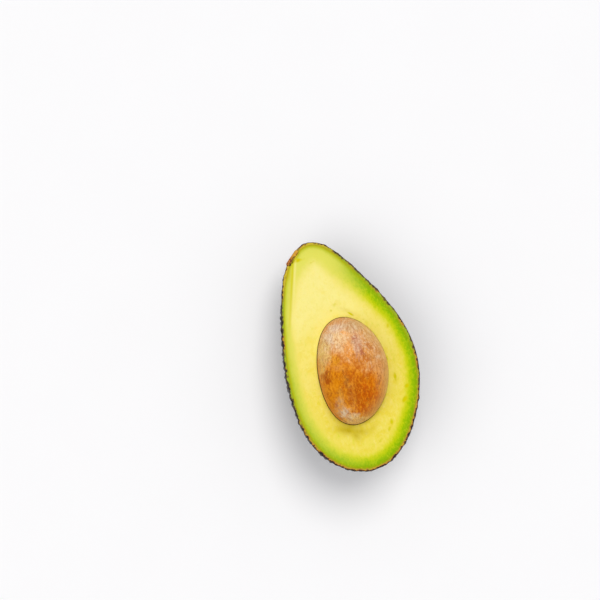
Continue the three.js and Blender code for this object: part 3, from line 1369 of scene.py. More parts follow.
    def _middle(self, paint: Paint, place: Wire, paler: Wire, fine: Wire) -> Wire:
        """The yellow and cream flesh inside the band.

        Args:
            paint: The material's tree.
            place: The surface's place.
            paler: How much paler the flesh gets over its length and width.
            fine: The flesh's fine grain, about 0.

        Returns:
            The colour.
        """
        cloud = paint.noise(place, self.cloud_size, detail=3.0, roughness=0.55) - 0.5
        pale = (paler + cloud * 0.9 + 0.3).step(0.0, 0.9)
        colour = paint.mix(pale, self.butter, self.cream)
        colour = paint.mix(fine.step(0.02, 0.2) * 0.7, colour, self.straw)
        colour = paint.mix(fine.step(-0.04, -0.24) * (1.3 - pale) * 0.5, colour, self.lime)
        mottle = paint.noise(place, self.mottle_size, detail=4.0, roughness=0.7)
        return paint.mix(mottle.step(0.48, 0.62) * (1.2 - pale) * 0.6, colour, self.yolk)

    def _marked(self, paint: Paint, colour: Wire, along: Wire, fine: Wire) -> Wire:
        """Adds painted shadow below the stone and painted light beside it, the listed spots of
        painted shadow and bruises, the cut veins, and painted shade and highlight along the knife's
        fold.

        Args:
            paint: The material's tree.
            colour: The flesh's colour.
            along: How far towards the stem end the surface is.
            fine: The flesh's fine grain, about 0.

        Returns:
            The colour.
        """
        near_stone = paint.value("near_stone")
        below_stone = along.step(*self.below_stone)
        fold_light = 0.5 + along.step(*self.fold_light_along) * 0.4
        # Deeper yellow just below the stone: partly the flesh's own ring round the seed, partly
        # painted shadow of the stone.
        colour = paint.mix(near_stone * below_stone * 0.45, colour, self.shadow_and_bruise)
        # Painted light: the flesh beside and above the stone is lightened, to lift the shade that
        # the stone throws round it.
        colour = paint.mix(near_stone * (1.0 - below_stone) * 0.5, colour, self.painted_light_beside_stone)
        # Painted shadow below the stone, and two bruises, from the listed spots.
        colour = paint.mix(paint.value("shadow_and_bruise") * (0.8 + fine), colour, self.shadow_and_bruise)
        colour = paint.mix((paint.value("mark") + fine * 0.6).step(0.2, 0.7), colour, self.mark)
        # Painted shade along the fold where the knife's facets meet, and a painted highlight beside
        # it on the main face, both stronger towards the stem end.
        colour = paint.mix(paint.value("crease_shade") * fold_light, colour, self.crease_shade)
        colour = paint.mix(paint.value("ridge_highlight") * fold_light * 0.8, colour, self.cream)
        return paint.mix(paint.value("wall"), colour, self.coat)


@dataclass
class Flesh:
    """The flesh, with the cut face on top and the stone's hollow in it. Millimetres.

    The lip's pairs are how far it is from the hollow's mouth and how far it has dropped. greenness
    and band_width pair a bearing from the stone's middle, in degrees, with the value there.
    crease_shade and ridge_highlight are stripes of painted shade and painted highlight beside the
    line where the knife's facets meet: how far to the left of it each stripe's middle is, and its
    half width.
    """

    fruit: Fruit
    columns: int = 720
    face_rings: int = 84
    wall_rings: int = 24
    hollow_rings: int = 20
    skin_gap: float = 0.02
    stone_gap: float = 0.14
    lip: tuple[tuple[float, float], ...] = (
        (0.4, 0.0),
        (0.25, 0.02),
        (0.13, 0.06),
        (0.05, 0.12),
        (0.0, 0.22),
    )
    wall_start: tuple[float, float] = (0.0, 0.16)
    stone_reach: float = 1.8
    crease_shade: tuple[float, float] = (0.2, 0.6)
    ridge_highlight: tuple[float, float] = (-0.9, 0.5)
    stripe_start: tuple[float, float] = (14.0, 24.0)
    stripe_end: tuple[float, float] = (50.0, 46.0)
    greenness: tuple[tuple[float, float], ...] = (
        (-180, 0.3),
        (-150, 0.35),
        (-124, 0.6),
        (-108, 0.8),
        (-94, 0.95),
        (-76, 1.0),
        (62, 1.0),
        (82, 0.2),
        (100, 0.0),
        (150, 0.0),
    )
    band_width: tuple[tuple[float, float], ...] = (
        (-160, 0.95),
        (-124, 1.1),
        (-100, 1.1),
        (-60, 1.0),
        (0, 0.95),
        (40, 1.0),
        (64, 1.2),
        (84, 1.6),
        (108, 0.9),
        (124, 0.6),
        (146, 0.85),
    )

    def body(self) -> RingBody:
        """The flesh.

        Returns:
            The body, with what its finish reads.
        """
        body = RingBody()
        inset = self.fruit.skin_thickness + self.skin_gap
        azimuth = self.fruit.even_azimuths(self.columns, inset)
        rim = self.fruit.depth_at_cut(azimuth, inset)
        for share in np.linspace(0, 1, self.wall_rings + 1)[1:]:
            depth = QUARTER_TURN + (rim - QUARTER_TURN) * share
            points = self.fruit.surface(on_ball(azimuth, depth), inset)
            self._add_ring(body, points, points, 0.0)
        outline = body.rings[-1]
        round_stone = self._hollow_azimuths(outline)
        cut_depth = self.fruit.stone.depth_at_cut(self.stone_gap)
        mouth = self.fruit.stone.surface(on_ball(round_stone, cut_depth), self.stone_gap)
        self._add_face(body, outline, mouth)
        for share in np.linspace(0, 1, self.hollow_rings + 1)[1:-1]:
            depth = cut_depth + (QUARTER_TURN - cut_depth) * share
            points = self.fruit.stone.surface(on_ball(round_stone, depth), self.stone_gap)
            self._add_ring(body, points, outline, 1.0)
        return body

    def _hollow_azimuths(self, outline: np.ndarray) -> np.ndarray:
        """The stone's angle that faces each point of the outline.

        Args:
            outline: The flesh's outline in the cut face.

        Returns:
            Angles round the stone's unit ball.
        """
        centre = np.array(self.fruit.stone.place[:2])
        dense = np.linspace(-math.pi, math.pi, MOUTH_STEPS)
        unit = on_ball(dense, self.fruit.stone.depth_at_cut(self.stone_gap))
        mouth = self.fruit.stone.surface(unit, self.stone_gap)[..., :2] - centre
        seen = np.arctan2(mouth[..., 1], mouth[..., 0])
        lag = (dense - seen + math.pi) % FULL_TURN - math.pi
        wanted = np.arctan2(*(outline[..., :2] - centre).T[::-1])
        return wanted + np.interp(wanted, seen, lag, period=FULL_TURN)

    def _add_face(self, body: RingBody, outline: np.ndarray, mouth: np.ndarray) -> None:
        """Adds the cut face, from the outline to the hollow's lip.

        Args:
            body: The body that it is added to.
            outline: The face's outline.
            mouth: The hollow's mouth, point for point.
        """
        span = np.linalg.norm((mouth - outline)[..., :2], axis=-1)
        widest_lip = self.lip[0][0]
        steps = [(share, None) for share in np.linspace(0, 1, self.face_rings + 1)[1:-1]]
        steps += [(None, lip) for lip in self.lip]
        for share, lip in steps:
            if lip is None:
                part, drop = share * (1 - widest_lip / span), 0.0
            else:
                part, drop = 1 - lip[0] / span, lip[1]
            points = outline + (mouth - outline) * part[..., None]
            points[..., 2] = self.fruit.knife(points) - drop
            wall = smoothstep(*self.wall_start, np.float64(drop))
            self._add_ring(body, points, outline, wall)

    def _add_ring(
        self, body: RingBody, points: np.ndarray, outline: np.ndarray, wall: float
    ) -> None:
        """Adds one ring with what the finish reads.

        Args:
            body: The body that it is added to.
            points: The ring's points.
            outline: The cut face's outline, which the depth is measured from.
            wall: 1 on the hollow's wall, 0 on the cut face.
        """
        from_stone = points[..., :2] - np.array(self.fruit.stone.place[:2])
        bearing = np.arctan2(from_stone[..., 1], from_stone[..., 0])
        body.add(
            points,
            depth=self._distance(points, outline) / self._by_bearing(self.band_width, bearing),
            greenness=self._by_bearing(self.greenness, bearing),
            near_stone=np.exp(-self.fruit.stone.beside(points) / self.stone_reach),
            shadow_and_bruise=np.max([shadow_and_bruise.amount(points) for shadow_and_bruise in SHADOWS_AND_BRUISES], axis=0),
            mark=np.max([mark.amount(points) for mark in MARKS], axis=0),
            crease_shade=self._stripe(points, self.crease_shade),
            ridge_highlight=self._stripe(points, self.ridge_highlight),
            wall=wall,
        )

    def _stripe(self, points: np.ndarray, stripe: tuple[float, float]) -> np.ndarray:
        """How much of a stripe beside the facets' line shows.

        Args:
            points: Points of the cut face.
            stripe: How far to the left of the line its middle is, and its half width.

        Returns:
            The amounts, from 0 to 1.
        """
        off = (self.fruit.left_of_crease(points) - stripe[0]) / stripe[1]
        start = smoothstep(*self.stripe_start, points[..., 1])
        return np.exp(-(off**2)) * start * smoothstep(*self.stripe_end, points[..., 1])

    @staticmethod
    def _distance(points: np.ndarray, outline: np.ndarray) -> np.ndarray:
        """How far points are from the nearest point of an outline."""
        tree = KDTree(len(outline))
        for index, point in enumerate(outline):
            tree.insert((point[0], point[1], 0.0), index)
        tree.balance()
        return np.array([tree.find((point[0], point[1], 0.0))[2] for point in points])

    @staticmethod
    def _by_bearing(pairs: Sequence[tuple[float, float]], bearing: np.ndarray) -> np.ndarray:
        """A value read from pairs of a bearing, in degrees, and the value there."""
        bearings, values = zip(*pairs)
        return np.interp(np.degrees(bearing), bearings, values, period=360)

    def build(self, stem_hole: bpy.types.Object) -> bpy.types.Object:
        """Builds and dresses the flesh.

        Args:
            stem_hole: The body that the stem's hole is cut by.

        Returns:
            The finished piece.
        """
        piece = self.body().build("flesh_cut", self.fruit)
        cut(piece, stem_hole)
        piece.data.materials.clear()
        piece.data.materials.append(FleshFinish().material())
        return place_piece(piece, Node.FLESH)


@dataclass(frozen=True)
class Blotch:
    """A soft patch of colour on the stone, in millimetres in the stone's own frame."""

    across: float
    along: float
    half_width: float
    half_length: float
    colour: Colour
    strength: float


@dataclass(frozen=True)
class StoneFinish:
    """The stone's thin seed coat: orange-brown, finely grained, with pale papery patches.

    Millimetres. A pair of numbers gives where something starts and where it is full.
    """

    tan: Colour = srgb(228, 152, 66)
    deep: Colour = srgb(212, 122, 20)
    amber: Colour = srgb(240, 156, 30)
    ember: Colour = srgb(176, 80, 2)
    paper: Colour = srgb(246, 218, 178)
    dusk: Colour = srgb(196, 126, 78)
    fibre: Colour = srgb(140, 78, 26)
    dust: Colour = srgb(250, 226, 170)
    # Dark line at the cut: the seed coat's edge and painted shade of the gap to the flesh.
    rim: Colour = srgb(116, 78, 22)
    pale_and_lit_flank: Colour = srgb(246, 200, 118)
    specular: float = 0.04
    sheen: float = 0.28
    sheen_roughness: float = 0.35
    girth: float = 14.0
    grain_stretch: float = 0.42
    sway: float = 3.0
    sway_size: float = 5.0
    pulls_per_mm: float = 0.35
    pull_reach: float = 4.0
    fleck_size: float = 1.1
    crumb_size: float = 1.0
    cloud_size: float = 5.0
    drift_size: float = 2.6
    fibre_size: float = 2.0
    fibre_group_size: float = 4.0
    papery_start: tuple[float, float] = (-4.0, 12.0)
    papery_wander: float = 24.0
    papery_wander_size: float = 6.0
    flank_height: tuple[float, float] = (13.6, 5.0)
    flank_side: tuple[float, float] = (-2.0, 9.0)
    rim_height: tuple[float, float] = (0.7, 0.1)
    relief_height: float = 0.12
    blotch_edge: tuple[float, float] = (1.3, 0.5)
    blotches: tuple[Blotch, ...] = (
        Blotch(-3.0, 14.0, 9.0, 7.0, srgb(240, 188, 126), 0.8),
        Blotch(-6.6, 16.0, 4.0, 4.0, srgb(248, 208, 148), 0.8),
        Blotch(0.0, 23.0, 9.0, 2.6, srgb(222, 164, 108), 0.75),
        Blotch(-5.4, 20.2, 4.8, 2.2, srgb(228, 200, 176), 0.85),
        Blotch(-10.4, 15.6, 2.6, 3.6, srgb(232, 208, 176), 0.85),
        Blotch(-12.8, 10.4, 2.6, 6.4, srgb(244, 214, 134), 0.8),
        Blotch(2.6, 20.0, 7.0, 2.6, srgb(206, 172, 124), 0.8),
        Blotch(8.4, 15.0, 3.4, 5.0, srgb(226, 180, 112), 0.7),
        Blotch(1.8, 11.2, 2.2, 6.4, srgb(208, 156, 126), 0.85),
        Blotch(1.6, 14.4, 1.5, 1.2, srgb(172, 88, 62), 0.8),
        Blotch(3.2, 7.0, 1.2, 1.8, srgb(176, 98, 72), 0.8),
        Blotch(11.6, 2.6, 4.4, 14.0, srgb(226, 162, 92), 0.8),
        Blotch(-3.0, 17.0, 2.0, 1.6, srgb(250, 162, 56), 0.8),
        Blotch(-2.4, 8.0, 2.2, 5.4, srgb(244, 158, 58), 0.8),
        Blotch(-9.4, 5.2, 2.0, 3.4, srgb(236, 160, 34), 0.85),
        Blotch(3.0, -11.4, 8.0, 9.6, srgb(208, 96, 0), 0.95),
        Blotch(6.0, -6.4, 2.4, 3.6, srgb(228, 124, 2), 0.85),
        Blotch(14.0, -8.0, 2.0, 7.0, srgb(220, 172, 100), 0.75),
        Blotch(-14.6, 5.0, 1.6, 9.0, srgb(228, 196, 112), 0.75),
        Blotch(-1.0, -3.6, 8.0, 4.0, srgb(204, 110, 10), 0.75),
        Blotch(-11.4, -7.0, 4.4, 9.6, srgb(224, 136, 0), 0.9),
        Blotch(-13.2, -2.0, 2.0, 3.2, srgb(156, 58, 2), 0.75),
        Blotch(-8.6, -11.4, 1.6, 3.4, srgb(222, 160, 62), 0.7),
        Blotch(-9.4, -16.0, 2.4, 4.0, srgb(212, 168, 116), 0.85),
        Blotch(-7.6, -18.8, 2.2, 2.2, srgb(236, 220, 186), 0.9),
        Blotch(-4.0, -21.2, 3.4, 1.5, srgb(242, 222, 176), 0.9),
        Blotch(-2.6, -24.4, 10.0, 3.2, srgb(244, 208, 132), 0.95),
        Blotch(2.4, -3.4, 2.6, 1.4, srgb(188, 88, 2), 0.7),
        Blotch(-3.2, -11.0, 4.0, 6.0, srgb(166, 96, 14), 0.42),
        Blotch(9.8, -3.6, 2.6, 8.0, srgb(242, 168, 92), 0.5),
        Blotch(-5.4, -4.6, 1.4, 3.4, srgb(158, 104, 40), 0.6),
    )

    def material(self) -> bpy.types.Material:
        """Makes the stone's material.

        Returns:
            The material.
        """
        surface = {
            "Specular IOR Level": self.specular,
            "Sheen Weight": self.sheen,
            "Sheen Roughness": self.sheen_roughness,
            "Sheen Tint": self.dust,
        }
        paint = Paint("stone", surface)
        place = paint.held_vector("stone_place")
        side, along, above_cut = paint.parts(place)
        sway = (paint.noise(place, self.sway_size, detail=2.0) - 0.5) * self.sway
        round_stone = side.math("ARCTAN2", above_cut) * self.girth + sway
        end_to_end = paint.vector(round_stone, along * self.grain_stretch, 0.0)
        flecks = paint.noise(end_to_end, self.fleck_size, detail=4.0, roughness=0.75)
        crumbs = paint.noise(place, self.crumb_size, detail=4.0, roughness=0.8)
        drift = paint.noise(end_to_end, self.drift_size, detail=4.0, roughness=0.7)

        colour = self._blotched(paint, place, (flecks - 0.5) * 2.0 + (crumbs - 0.5) * 1.2)
        wander = paint.noise(place, self.papery_wander_size, detail=2.0) - 0.5
        papery = along + side * 0.3 + wander * self.papery_wander
        papery = papery.step(*self.papery_start)
        light = paint.mix(papery, self.amber, self.paper)
        dark = paint.mix(papery, self.ember, self.dusk)
        # Each pattern, from where it shows, over what rise and how much, then what its lumps and
        # the places between them turn to.
        layers = (
            (drift, 0.5, 0.1, 0.38, light, dark),
            (flecks, 0.52, 0.1, 0.6, light, dark),
            (crumbs, 0.52, 0.16, 0.58, dark, light),
        )
        for pattern, start, rise, strength, lumps, between in layers:
            colour = paint.mix(pattern.step(start, start + rise) * strength, colour, lumps)
            low = 1 - start
            colour = paint.mix(pattern.step(low, low - rise) * strength, colour, between)

        fibres = paint.noise(end_to_end, self.fibre_size, detail=3.0, roughness=0.6) - 0.5
        fibres = fibres.math("ABSOLUTE").step(0.03, 0.0)
        fibres = fibres * paint.noise(place, self.fibre_group_size).step(0.35, 0.6)
        colour = paint.mix(fibres * 0.5, colour, self.fibre)
        # Lighter low on the stone's right side: partly the coat's paler edge, partly painted light
        # that lifts the shade of the steep side beside the flesh.
        pale_and_lit_flank = above_cut.step(*self.flank_height) * side.step(*self.flank_side)
        colour = paint.mix(pale_and_lit_flank * 0.42, colour, self.pale_and_lit_flank)
        # Painted shade: a dark line at the cut, partly the seed coat's torn edge, partly painted
        # shade of the narrow gap between stone and flesh.
        colour = paint.mix(above_cut.step(*self.rim_height) * 0.85, colour, self.rim)
        relief = paint.bump(crumbs * 0.4 + flecks * 0.6, self.relief_height)
        return paint.finish(colour, 0.48 + flecks * 0.2, relief)

    def _blotched(self, paint: Paint, place: Wire, ragged: Wire) -> Wire:
        """The coat's ground with its blotches, whose outlines are pulled about and ragged.

        Args:
            paint: The material's tree.
            place: The surface's place on the stone.
            ragged: How much further in or out a blotch's outline is.

        Returns:
            The colour.
        """
        clouds = paint.noise(place, self.cloud_size, detail=3.0).step(0.38, 0.62)
        colour = paint.mix(clouds, self.tan, self.deep)
        loose = paint.loosened(place, self.pulls_per_mm, 3.0, self.pull_reach)
        for blotch in self.blotches:
            offset = paint.vector_math("SUBTRACT", loose, (blotch.across, blotch.along, 0.0))
            sizes = (1 / blotch.half_width, 1 / blotch.half_length, 0.0)
            reach = paint.vector_math("LENGTH", paint.stretched(offset, sizes), out=1)
            amount = (reach + ragged).step(*self.blotch_edge) * blotch.strength
            colour = paint.mix(amount, colour, blotch.colour)
        return colour


@dataclass
class Stone:
    """The stone, whose form follows the same rule as the part's. Millimetres."""

    fruit: Fruit
    subdivisions: int = 7
    lump_size: float = 9.0
    lump_height: float = 0.35
    wrinkle_size: float = 1.6
    wrinkle_stretch: tuple[float, float, float] = (1.0, 0.3, 1.0)
    wrinkle_height: float = 0.12

    def tree(self, coat: bpy.types.Material) -> Growth:
        """The Geometry Nodes that shape a ball into the stone.

        Args:
            coat: The stone's material.

        Returns:
            The tree.
        """
        form = self.fruit.stone
        grow = Growth(
            "stone",
            half_width=form.width / 2,
            half_length=form.length / 2,
            bend=form.bend,
            lump_height=self.lump_height,
            wrinkle_height=self.wrinkle_height,
            lean=(0.0, 0.0, -form.lean),
            place=form.place,
            dip=(-self.fruit.stem_end_dip, 0.0, 0.0),
            offset=tuple(value * MM for value in self.fruit.offset),
            coat=coat,
        )
        sockets = {"Radius": 1.0, "Subdivisions": self.subdivisions}
        ball = grow.add("GeometryNodeMeshIcoSphere", sockets=sockets)
        unit = grow.add("GeometryNodeInputPosition")
        across, along, up = grow.parts(unit)
        half_width = grow.input("half_width")
        egg = grow.vector(
            across * half_width - along * along * grow.input("bend"),
            along * grow.input("half_length"),
            up * half_width,
        )
        lumps = (grow.noise(egg, self.lump_size, detail=1.0) - 0.5) * grow.input("lump_height")
        lengthwise = grow.stretched(egg, self.wrinkle_stretch)
        wrinkles = grow.noise(lengthwise, self.wrinkle_size, detail=3.0) - 0.5
        height = lumps + wrinkles * grow.input("wrinkle_height")
        place = grow.vector_math("ADD", egg, grow.vector_math("SCALE", unit, scale=height))
        shape = grow.add("GeometryNodeSetPosition", sockets={"Geometry": ball, "Position": place})
        position = grow.add("GeometryNodeInputPosition")
        above_cut = grow.vector_math("ADD", position, (0.0, 0.0, form.place[2]))
        shape = grow.store(shape, "stone_place", above_cut, "FLOAT_VECTOR")
        for move, turn, scale in (("place", "lean", 1.0), ("offset", "dip", MM)):
            sockets = {
                "Geometry": shape,
                "Translation": grow.input(move),
                "Rotation": grow.input(turn),
                "Scale": (scale, scale, scale),
            }
            shape = grow.add("GeometryNodeTransform", sockets=sockets)
        grow.end(shape, ("coat", True))
        return grow

    def build(self) -> bpy.types.Object:
        """Builds and dresses the stone.

        Returns:
            The finished piece.
        """
        piece = bpy.data.objects.new("stone_coated", bpy.data.meshes.new("stone_coated"))
        bpy.context.scene.collection.objects.link(piece)
        self.tree(StoneFinish().material()).apply(piece)
        return place_piece(piece, Node.STONE)


@dataclass(frozen=True)
class CorkFinish:
    """Dry corky tissue: golden where the knife cut it, rust brown and cracked where it has dried.

    Millimetres. A pair of numbers gives where something starts and where it is full.
    """

    golden: Colour = srgb(228, 176, 62)
    ochre: Colour = srgb(188, 124, 34)
    tan: Colour = srgb(206, 128, 56)
    rust: Colour = srgb(132, 66, 34)
    crack_and_gap_shade: Colour = srgb(48, 24, 14)
    flesh: Colour = srgb(214, 196, 30)
    specular: float = 0.25
    coarse_size: float = 1.6
    fine_size: float = 0.45
    crack_size: float = 1.3
    relief_height: float = 0.3

    def material(self) -> bpy.types.Material:
        """Makes the cork's material.

        Returns:
            The material.
        """
        paint = Paint("cork", {"Specular IOR Level": self.specular})
        place = paint.place()
        dried = paint.value("dried")
        coarse = paint.noise(place, self.coarse_size, detail=4.0, roughness=0.65)
        fine = paint.noise(place, self.fine_size, detail=3.0, roughness=0.6)
        fresh = paint.mix(coarse.step(0.35, 0.65), self.golden, self.ochre)
        dry = paint.mix(coarse.step(0.4, 0.6), self.rust, self.tan)
        colour = paint.mix((dried + (coarse - 0.5) * 0.8).step(0.3, 0.75), fresh, dry)
        cracks = paint.noise(place, self.crack_size, detail=3.0) - 0.5
        cracks = cracks.math("ABSOLUTE").step(0.05, 0.0)
        colour = paint.mix(cracks * dried * 0.8, colour, self.crack_and_gap_shade)
        inner = paint.value("inner") + (fine - 0.5) * 0.4
        # Painted shade: a dark band at the button's inner end, where the narrow gap to the flesh
        # lies in shade.
        colour = paint.mix(inner.step(0.1, 0.35) * 0.85, colour, self.crack_and_gap_shade)
        colour = paint.mix(inner.step(0.55, 0.8) * (1.0 - dried), colour, self.flesh)
        relief = paint.bump(fine * 0.5 + coarse * 0.5, self.relief_height)
        return paint.finish(colour, 0.75 + fine * 0.15, relief)


@dataclass
class StemButton:
    """The corky scar of the stem, cut through by the knife. Millimetres.

    inner_hub and outer_hub are the shares of the end rings' radii at which the rings of the ends
    stand. hole_values are what the hole's wall holds for the skin's and the flesh's finishes.
    """

    fruit: Fruit
    rings: int = 30
    columns: int = 44
    inner_hub: tuple[float, ...] = (0.25, 0.5, 0.75)
    outer_hub: tuple[float, ...] = (0.85, 0.7, 0.55, 0.4, 0.25)
    inner_start: tuple[float, float] = (-0.9, -1.7)
    dried_across: tuple[float, float] = (0.4, -1.6)
    dried_outside: tuple[float, float] = (-0.1, 0.4)
    hole_sides: int = 64
    hole_gap: float = 0.14
    hole_reach: float = 12.0
    hole_values: tuple[tuple[str, float], ...] = (
        ("raised", 0.0),
        ("edge", 0.55),
        ("depth", 4.0),
        ("wall", 0.9),
    )
    rough_size: float = 0.9
    rough_middle: float = 0.55
    rough_height: float = 0.35

    def profile(self, gap: float, stands_out: float) -> list[tuple[float, float]]:
        """The button's outline, as radius and distance along the stem's line.

        Args:
            gap: How far outside the button it lies.
            stands_out: Where its outer end is.

        Returns:
            The corners, from the inner end to the outer one.
        """
        stem = self.fruit.stem
        return [
            (stem.inner_radius + gap, -stem.depth - gap),
            (stem.radius + gap, -stem.edge),
            (stem.radius + gap, stands_out - stem.edge),
            (stem.radius + gap - stem.edge, stands_out),
        ]

    def point(self, across: np.ndarray, along: float, up: np.ndarray) -> np.ndarray:
        """Points given across the stem, along its line and up, in the fruit's frame."""
        stem = self.fruit.stem
        flat = np.array(stem.place) + np.asarray(across)[..., None] * stem.side + along * stem.line
        return flat + np.asarray(up)[..., None] * np.array((0.0, 0.0, 1.0))

    def hole(self) -> bpy.types.Object:
        """The body that the stem's hole is cut by.

        Returns:
            The cutter, which is removed once it has been used.
        """
        body = RingBody()
        turn = np.linspace(0, FULL_TURN, self.hole_sides, endpoint=False)
        for radius, along in self.profile(self.hole_gap, self.hole_reach):
            ring = self.point(radius * np.cos(turn), along, radius * np.sin(turn))
            body.add(ring, outwards=np.zeros((1, 3)), **dict(self.hole_values))
        return body.build("stem_hole", self.fruit)

    def body(self) -> RingBody:
        """The button, a round plug with its upper part cut away.

        Returns:
            The body, with how far it has dried and how far inside the fruit it is.
        """
        body = RingBody()
        radii, stations = zip(*self.profile(0.0, self.fruit.stem.stands_out))
        travelled = np.concatenate(([0.0], np.cumsum(np.hypot(np.diff(radii), np.diff(stations)))))
        steps = np.linspace(0, travelled[-1], self.rings)
        first, last = stations[0], stations[-1]
        rows = [(radii[0] * share, first) for share in self.inner_hub]
        rows += list(zip(np.interp(steps, travelled, radii), np.interp(steps, travelled, stations)))
        rows += [(radii[-1] * share, last) for share in self.outer_hub]
        for radius, along in rows:
            ring, dried = self._ring(radius, along)
            body.add(ring, dried=dried, inner=smoothstep(*self.inner_start, np.float64(along)))
        return body

    def _ring(self, radius: float, along: float) -> tuple[np.ndarray, np.ndarray]:
        """One section across the stem: round below, and cut by the knife above.

        Args:
            radius: The section's radius.
            along: Its place on the stem's line.

        Returns:
            Its points, and how far each has dried, from 0 to 1.
        """
        low, high = -radius, 0.0
        for _ in range(HALVINGS):
            middle = (low + high) / 2
            knife = self.fruit.knife(self.point(np.array(middle), along, np.array(0.0)))
            if knife < -math.sqrt(radius**2 - middle**2):
                low = middle
            else:
                high = middle
        turn = np.linspace(0, math.pi, self.columns // 2, endpoint=False)
        span = radius - high
        below_x = high + span * (1 - np.cos(turn)) / 2
        above_x = below_x[0] + radius - below_x
        below_z = -np.sqrt(np.maximum(radius**2 - below_x**2, 0.0))
        above_z = self.fruit.knife(self.point(above_x, along, 0.0 * above_x))
        below, above = self.point(below_x, along, below_z), self.point(above_x, along, above_z)
        dried = np.concatenate((np.ones_like(below_x), smoothstep(*self.dried_across, above_x)))
        dried = dried + smoothstep(*self.dried_outside, np.float64(along)) * 0.6
        return np.concatenate((below, above)), np.clip(dried, 0.0, 1.0)

    def build(self) -> bpy.types.Object:
        """Builds and dresses the button.

        Returns:
            The finished piece.
        """
        piece = self.body().build("stem_button_cork", self.fruit)
        grow = Growth("cork", rough_height=self.rough_height, cork=CorkFinish().material())
        place = grow.vector_math("SCALE", grow.add("GeometryNodeInputPosition"), scale=1 / MM)
        rough = grow.noise(place, self.rough_size, detail=3.0) - self.rough_middle
        height = rough * grow.input("rough_height") * MM
        offset = grow.vector_math("SCALE", grow.add("GeometryNodeInputNormal"), scale=height)
        sockets = {"Geometry": grow.input("Geometry"), "Offset": offset}
        plug = grow.add("GeometryNodeSetPosition", sockets=sockets)
        grow.end(plug, ("cork", True))
        grow.apply(piece)
        return place_piece(piece, Node.STEM_BUTTON)


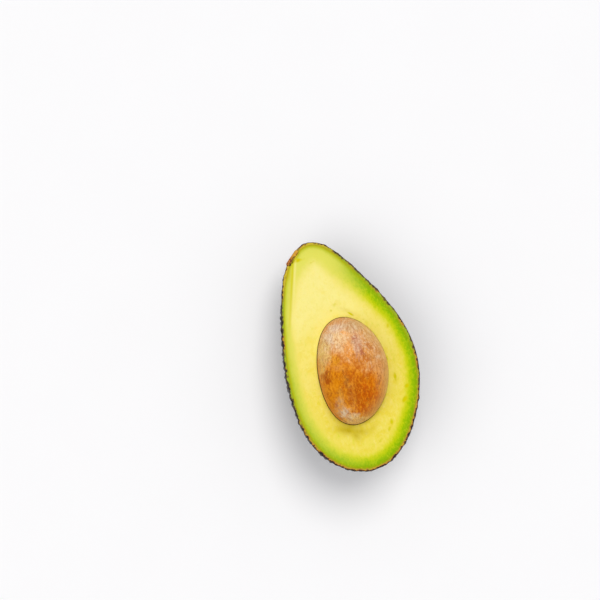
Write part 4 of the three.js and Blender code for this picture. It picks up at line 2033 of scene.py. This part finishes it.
@dataclass(frozen=True)
class Stage:
    """The plain pale floor, the soft light and the camera at the photograph's viewing angle.

    Pixels are those of the photograph, which is frame_px wide and high. The camera is moved off
    the line straight above the cut face by off_face, towards the bearing off_bearing in the
    picture. A light's direction is given by its shares of the picture's right and up and of the
    way out of the cut face.
    """

    fruit: Fruit
    frame_px: float = 600.0
    middle_px: tuple[float, float] = (344.8, 354.7)
    fruit_px: float = 236.5
    lean: float = math.radians(16.35)
    off_face: float = math.radians(7)
    off_bearing: float = math.radians(222)
    lens: float = 100.0
    floor_size: float = 6.0
    floor_cloud_size: float = 40.0
    floor_roughness: float = 0.9
    floor_specular: float = 0.1
    floor_pale: Colour = srgb(250, 250, 251)
    floor_white: Colour = srgb(252, 252, 253)
    sky: Colour = srgb(250, 251, 255)
    lamp: Colour = srgb(255, 253, 250)
    ambient: float = 0.46
    key: float = 1.37
    key_from: tuple[float, float, float] = (0.1, 0.45, 1.0)
    key_width: float = math.radians(36)
    fill: float = 0.75
    fill_from: tuple[float, float, float] = (-0.7, -0.3, 1.0)
    fill_width: float = math.radians(50)

    @property
    def face_axes(self) -> tuple[Vector, Vector, Vector]:
        """The picture's right and up, and straight out of the cut face, in the part's frame."""
        turn = Matrix(self.fruit.turn_matrix.tolist())
        right = turn @ Vector((math.cos(self.lean), -math.sin(self.lean), 0))
        up = turn @ Vector((math.sin(self.lean), math.cos(self.lean), 0))
        return right, up, turn @ Vector((0, 0, 1))

    def middle(self) -> Vector:
        """The middle of the cut face."""
        return Vector(self.fruit.to_part(np.array((0.0, 0.0, 0.0))))

    def add_camera(self) -> None:
        """Adds the camera, aimed so that the fruit stands where it does in the photograph."""
        right, up, out = self.face_axes
        across = right * math.cos(self.off_bearing) + up * math.sin(self.off_bearing)
        back = out * math.cos(self.off_face) + across * math.sin(self.off_face)
        up = (up - back * up.dot(back)).normalized()
        right = up.cross(back)
        data = bpy.data.cameras.new("camera")
        data.lens = self.lens
        scale = self.fruit.length * MM / self.fruit_px
        distance = scale * self.frame_px * data.lens / data.sensor_width
        centre_px = self.frame_px / 2
        target = self.middle() - right * (self.middle_px[0] - centre_px) * scale
        target += up * (self.middle_px[1] - centre_px) * scale
        camera = bpy.data.objects.new("camera", data)
        turn = Matrix((right, up, back)).transposed().to_4x4()
        camera.matrix_world = Matrix.Translation(target + back * distance) @ turn
        bpy.context.scene.collection.objects.link(camera)
        bpy.context.scene.camera = camera

    def add_light(
        self, name: str, shares: tuple[float, float, float], width: float, strength: float
    ) -> None:
        """Adds a wide, far-off light.

        Args:
            name: The light's name.
            shares: How far right, up and out of the cut face it stands.
            width: How wide the light is, seen from the fruit, in radians.
            strength: Its strength, in watts per square metre.
        """
        data = bpy.data.lights.new(name, "SUN")
        data.angle = width
        data.energy = strength
        data.color = self.lamp[:3]
        right, up, out = (axis * share for axis, share in zip(self.face_axes, shares))
        light = bpy.data.objects.new(name, data)
        light.matrix_world = (right + up + out).to_track_quat("Z", "Y").to_matrix().to_4x4()
        bpy.context.scene.collection.objects.link(light)

    def add_floor(self) -> None:
        """Adds the pale floor."""
        half = self.floor_size / 2
        mesh = bpy.data.meshes.new("floor")
        corners = [(-half, -half, 0.0), (half, -half, 0.0), (half, half, 0.0), (-half, half, 0.0)]
        mesh.from_pydata(corners, [], [(0, 1, 2, 3)])
        paint = Paint("floor", {"Specular IOR Level": self.floor_specular})
        clouds = paint.noise(paint.place(), self.floor_cloud_size)
        colour = paint.mix(clouds, self.floor_pale, self.floor_white)
        mesh.materials.append(paint.finish(colour, self.floor_roughness))
        floor = bpy.data.objects.new("floor", mesh)
        bpy.context.scene.collection.objects.link(floor)

    def build(self) -> None:
        """Sets up the floor, the light and the camera."""
        scene = bpy.context.scene
        scene.view_settings.view_transform = "Standard"
        world = bpy.data.worlds.new("studio")
        world.use_nodes = True
        background = world.node_tree.nodes["Background"]
        background.inputs["Color"].default_value = self.sky
        background.inputs["Strength"].default_value = self.ambient
        scene.world = world
        self.add_light("key", self.key_from, self.key_width, self.key)
        self.add_light("fill", self.fill_from, self.fill_width, self.fill)
        self.add_camera()
        self.add_floor()


def main() -> None:
    """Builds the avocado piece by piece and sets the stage."""
    logging.basicConfig(level=logging.INFO, format="%(name)s: %(message)s")
    fruit = Fruit.lying_in_frame()
    log.info("fruit's frame lies at %s mm", np.round(fruit.offset, 2).tolist())
    button = StemButton(fruit)
    stem_hole = button.hole()
    pieces = [Skin(fruit).build(stem_hole), Flesh(fruit).build(stem_hole)]
    bpy.data.objects.remove(stem_hole)
    pieces += [Stone(fruit).build(), button.build()]
    for piece in pieces:
        triangles = sum(len(face.vertices) - 2 for face in piece.data.polygons)
        log.info("%s: %d triangles", piece.name, triangles)
    Stage(fruit).build()


if __name__ == "__main__":
    main()
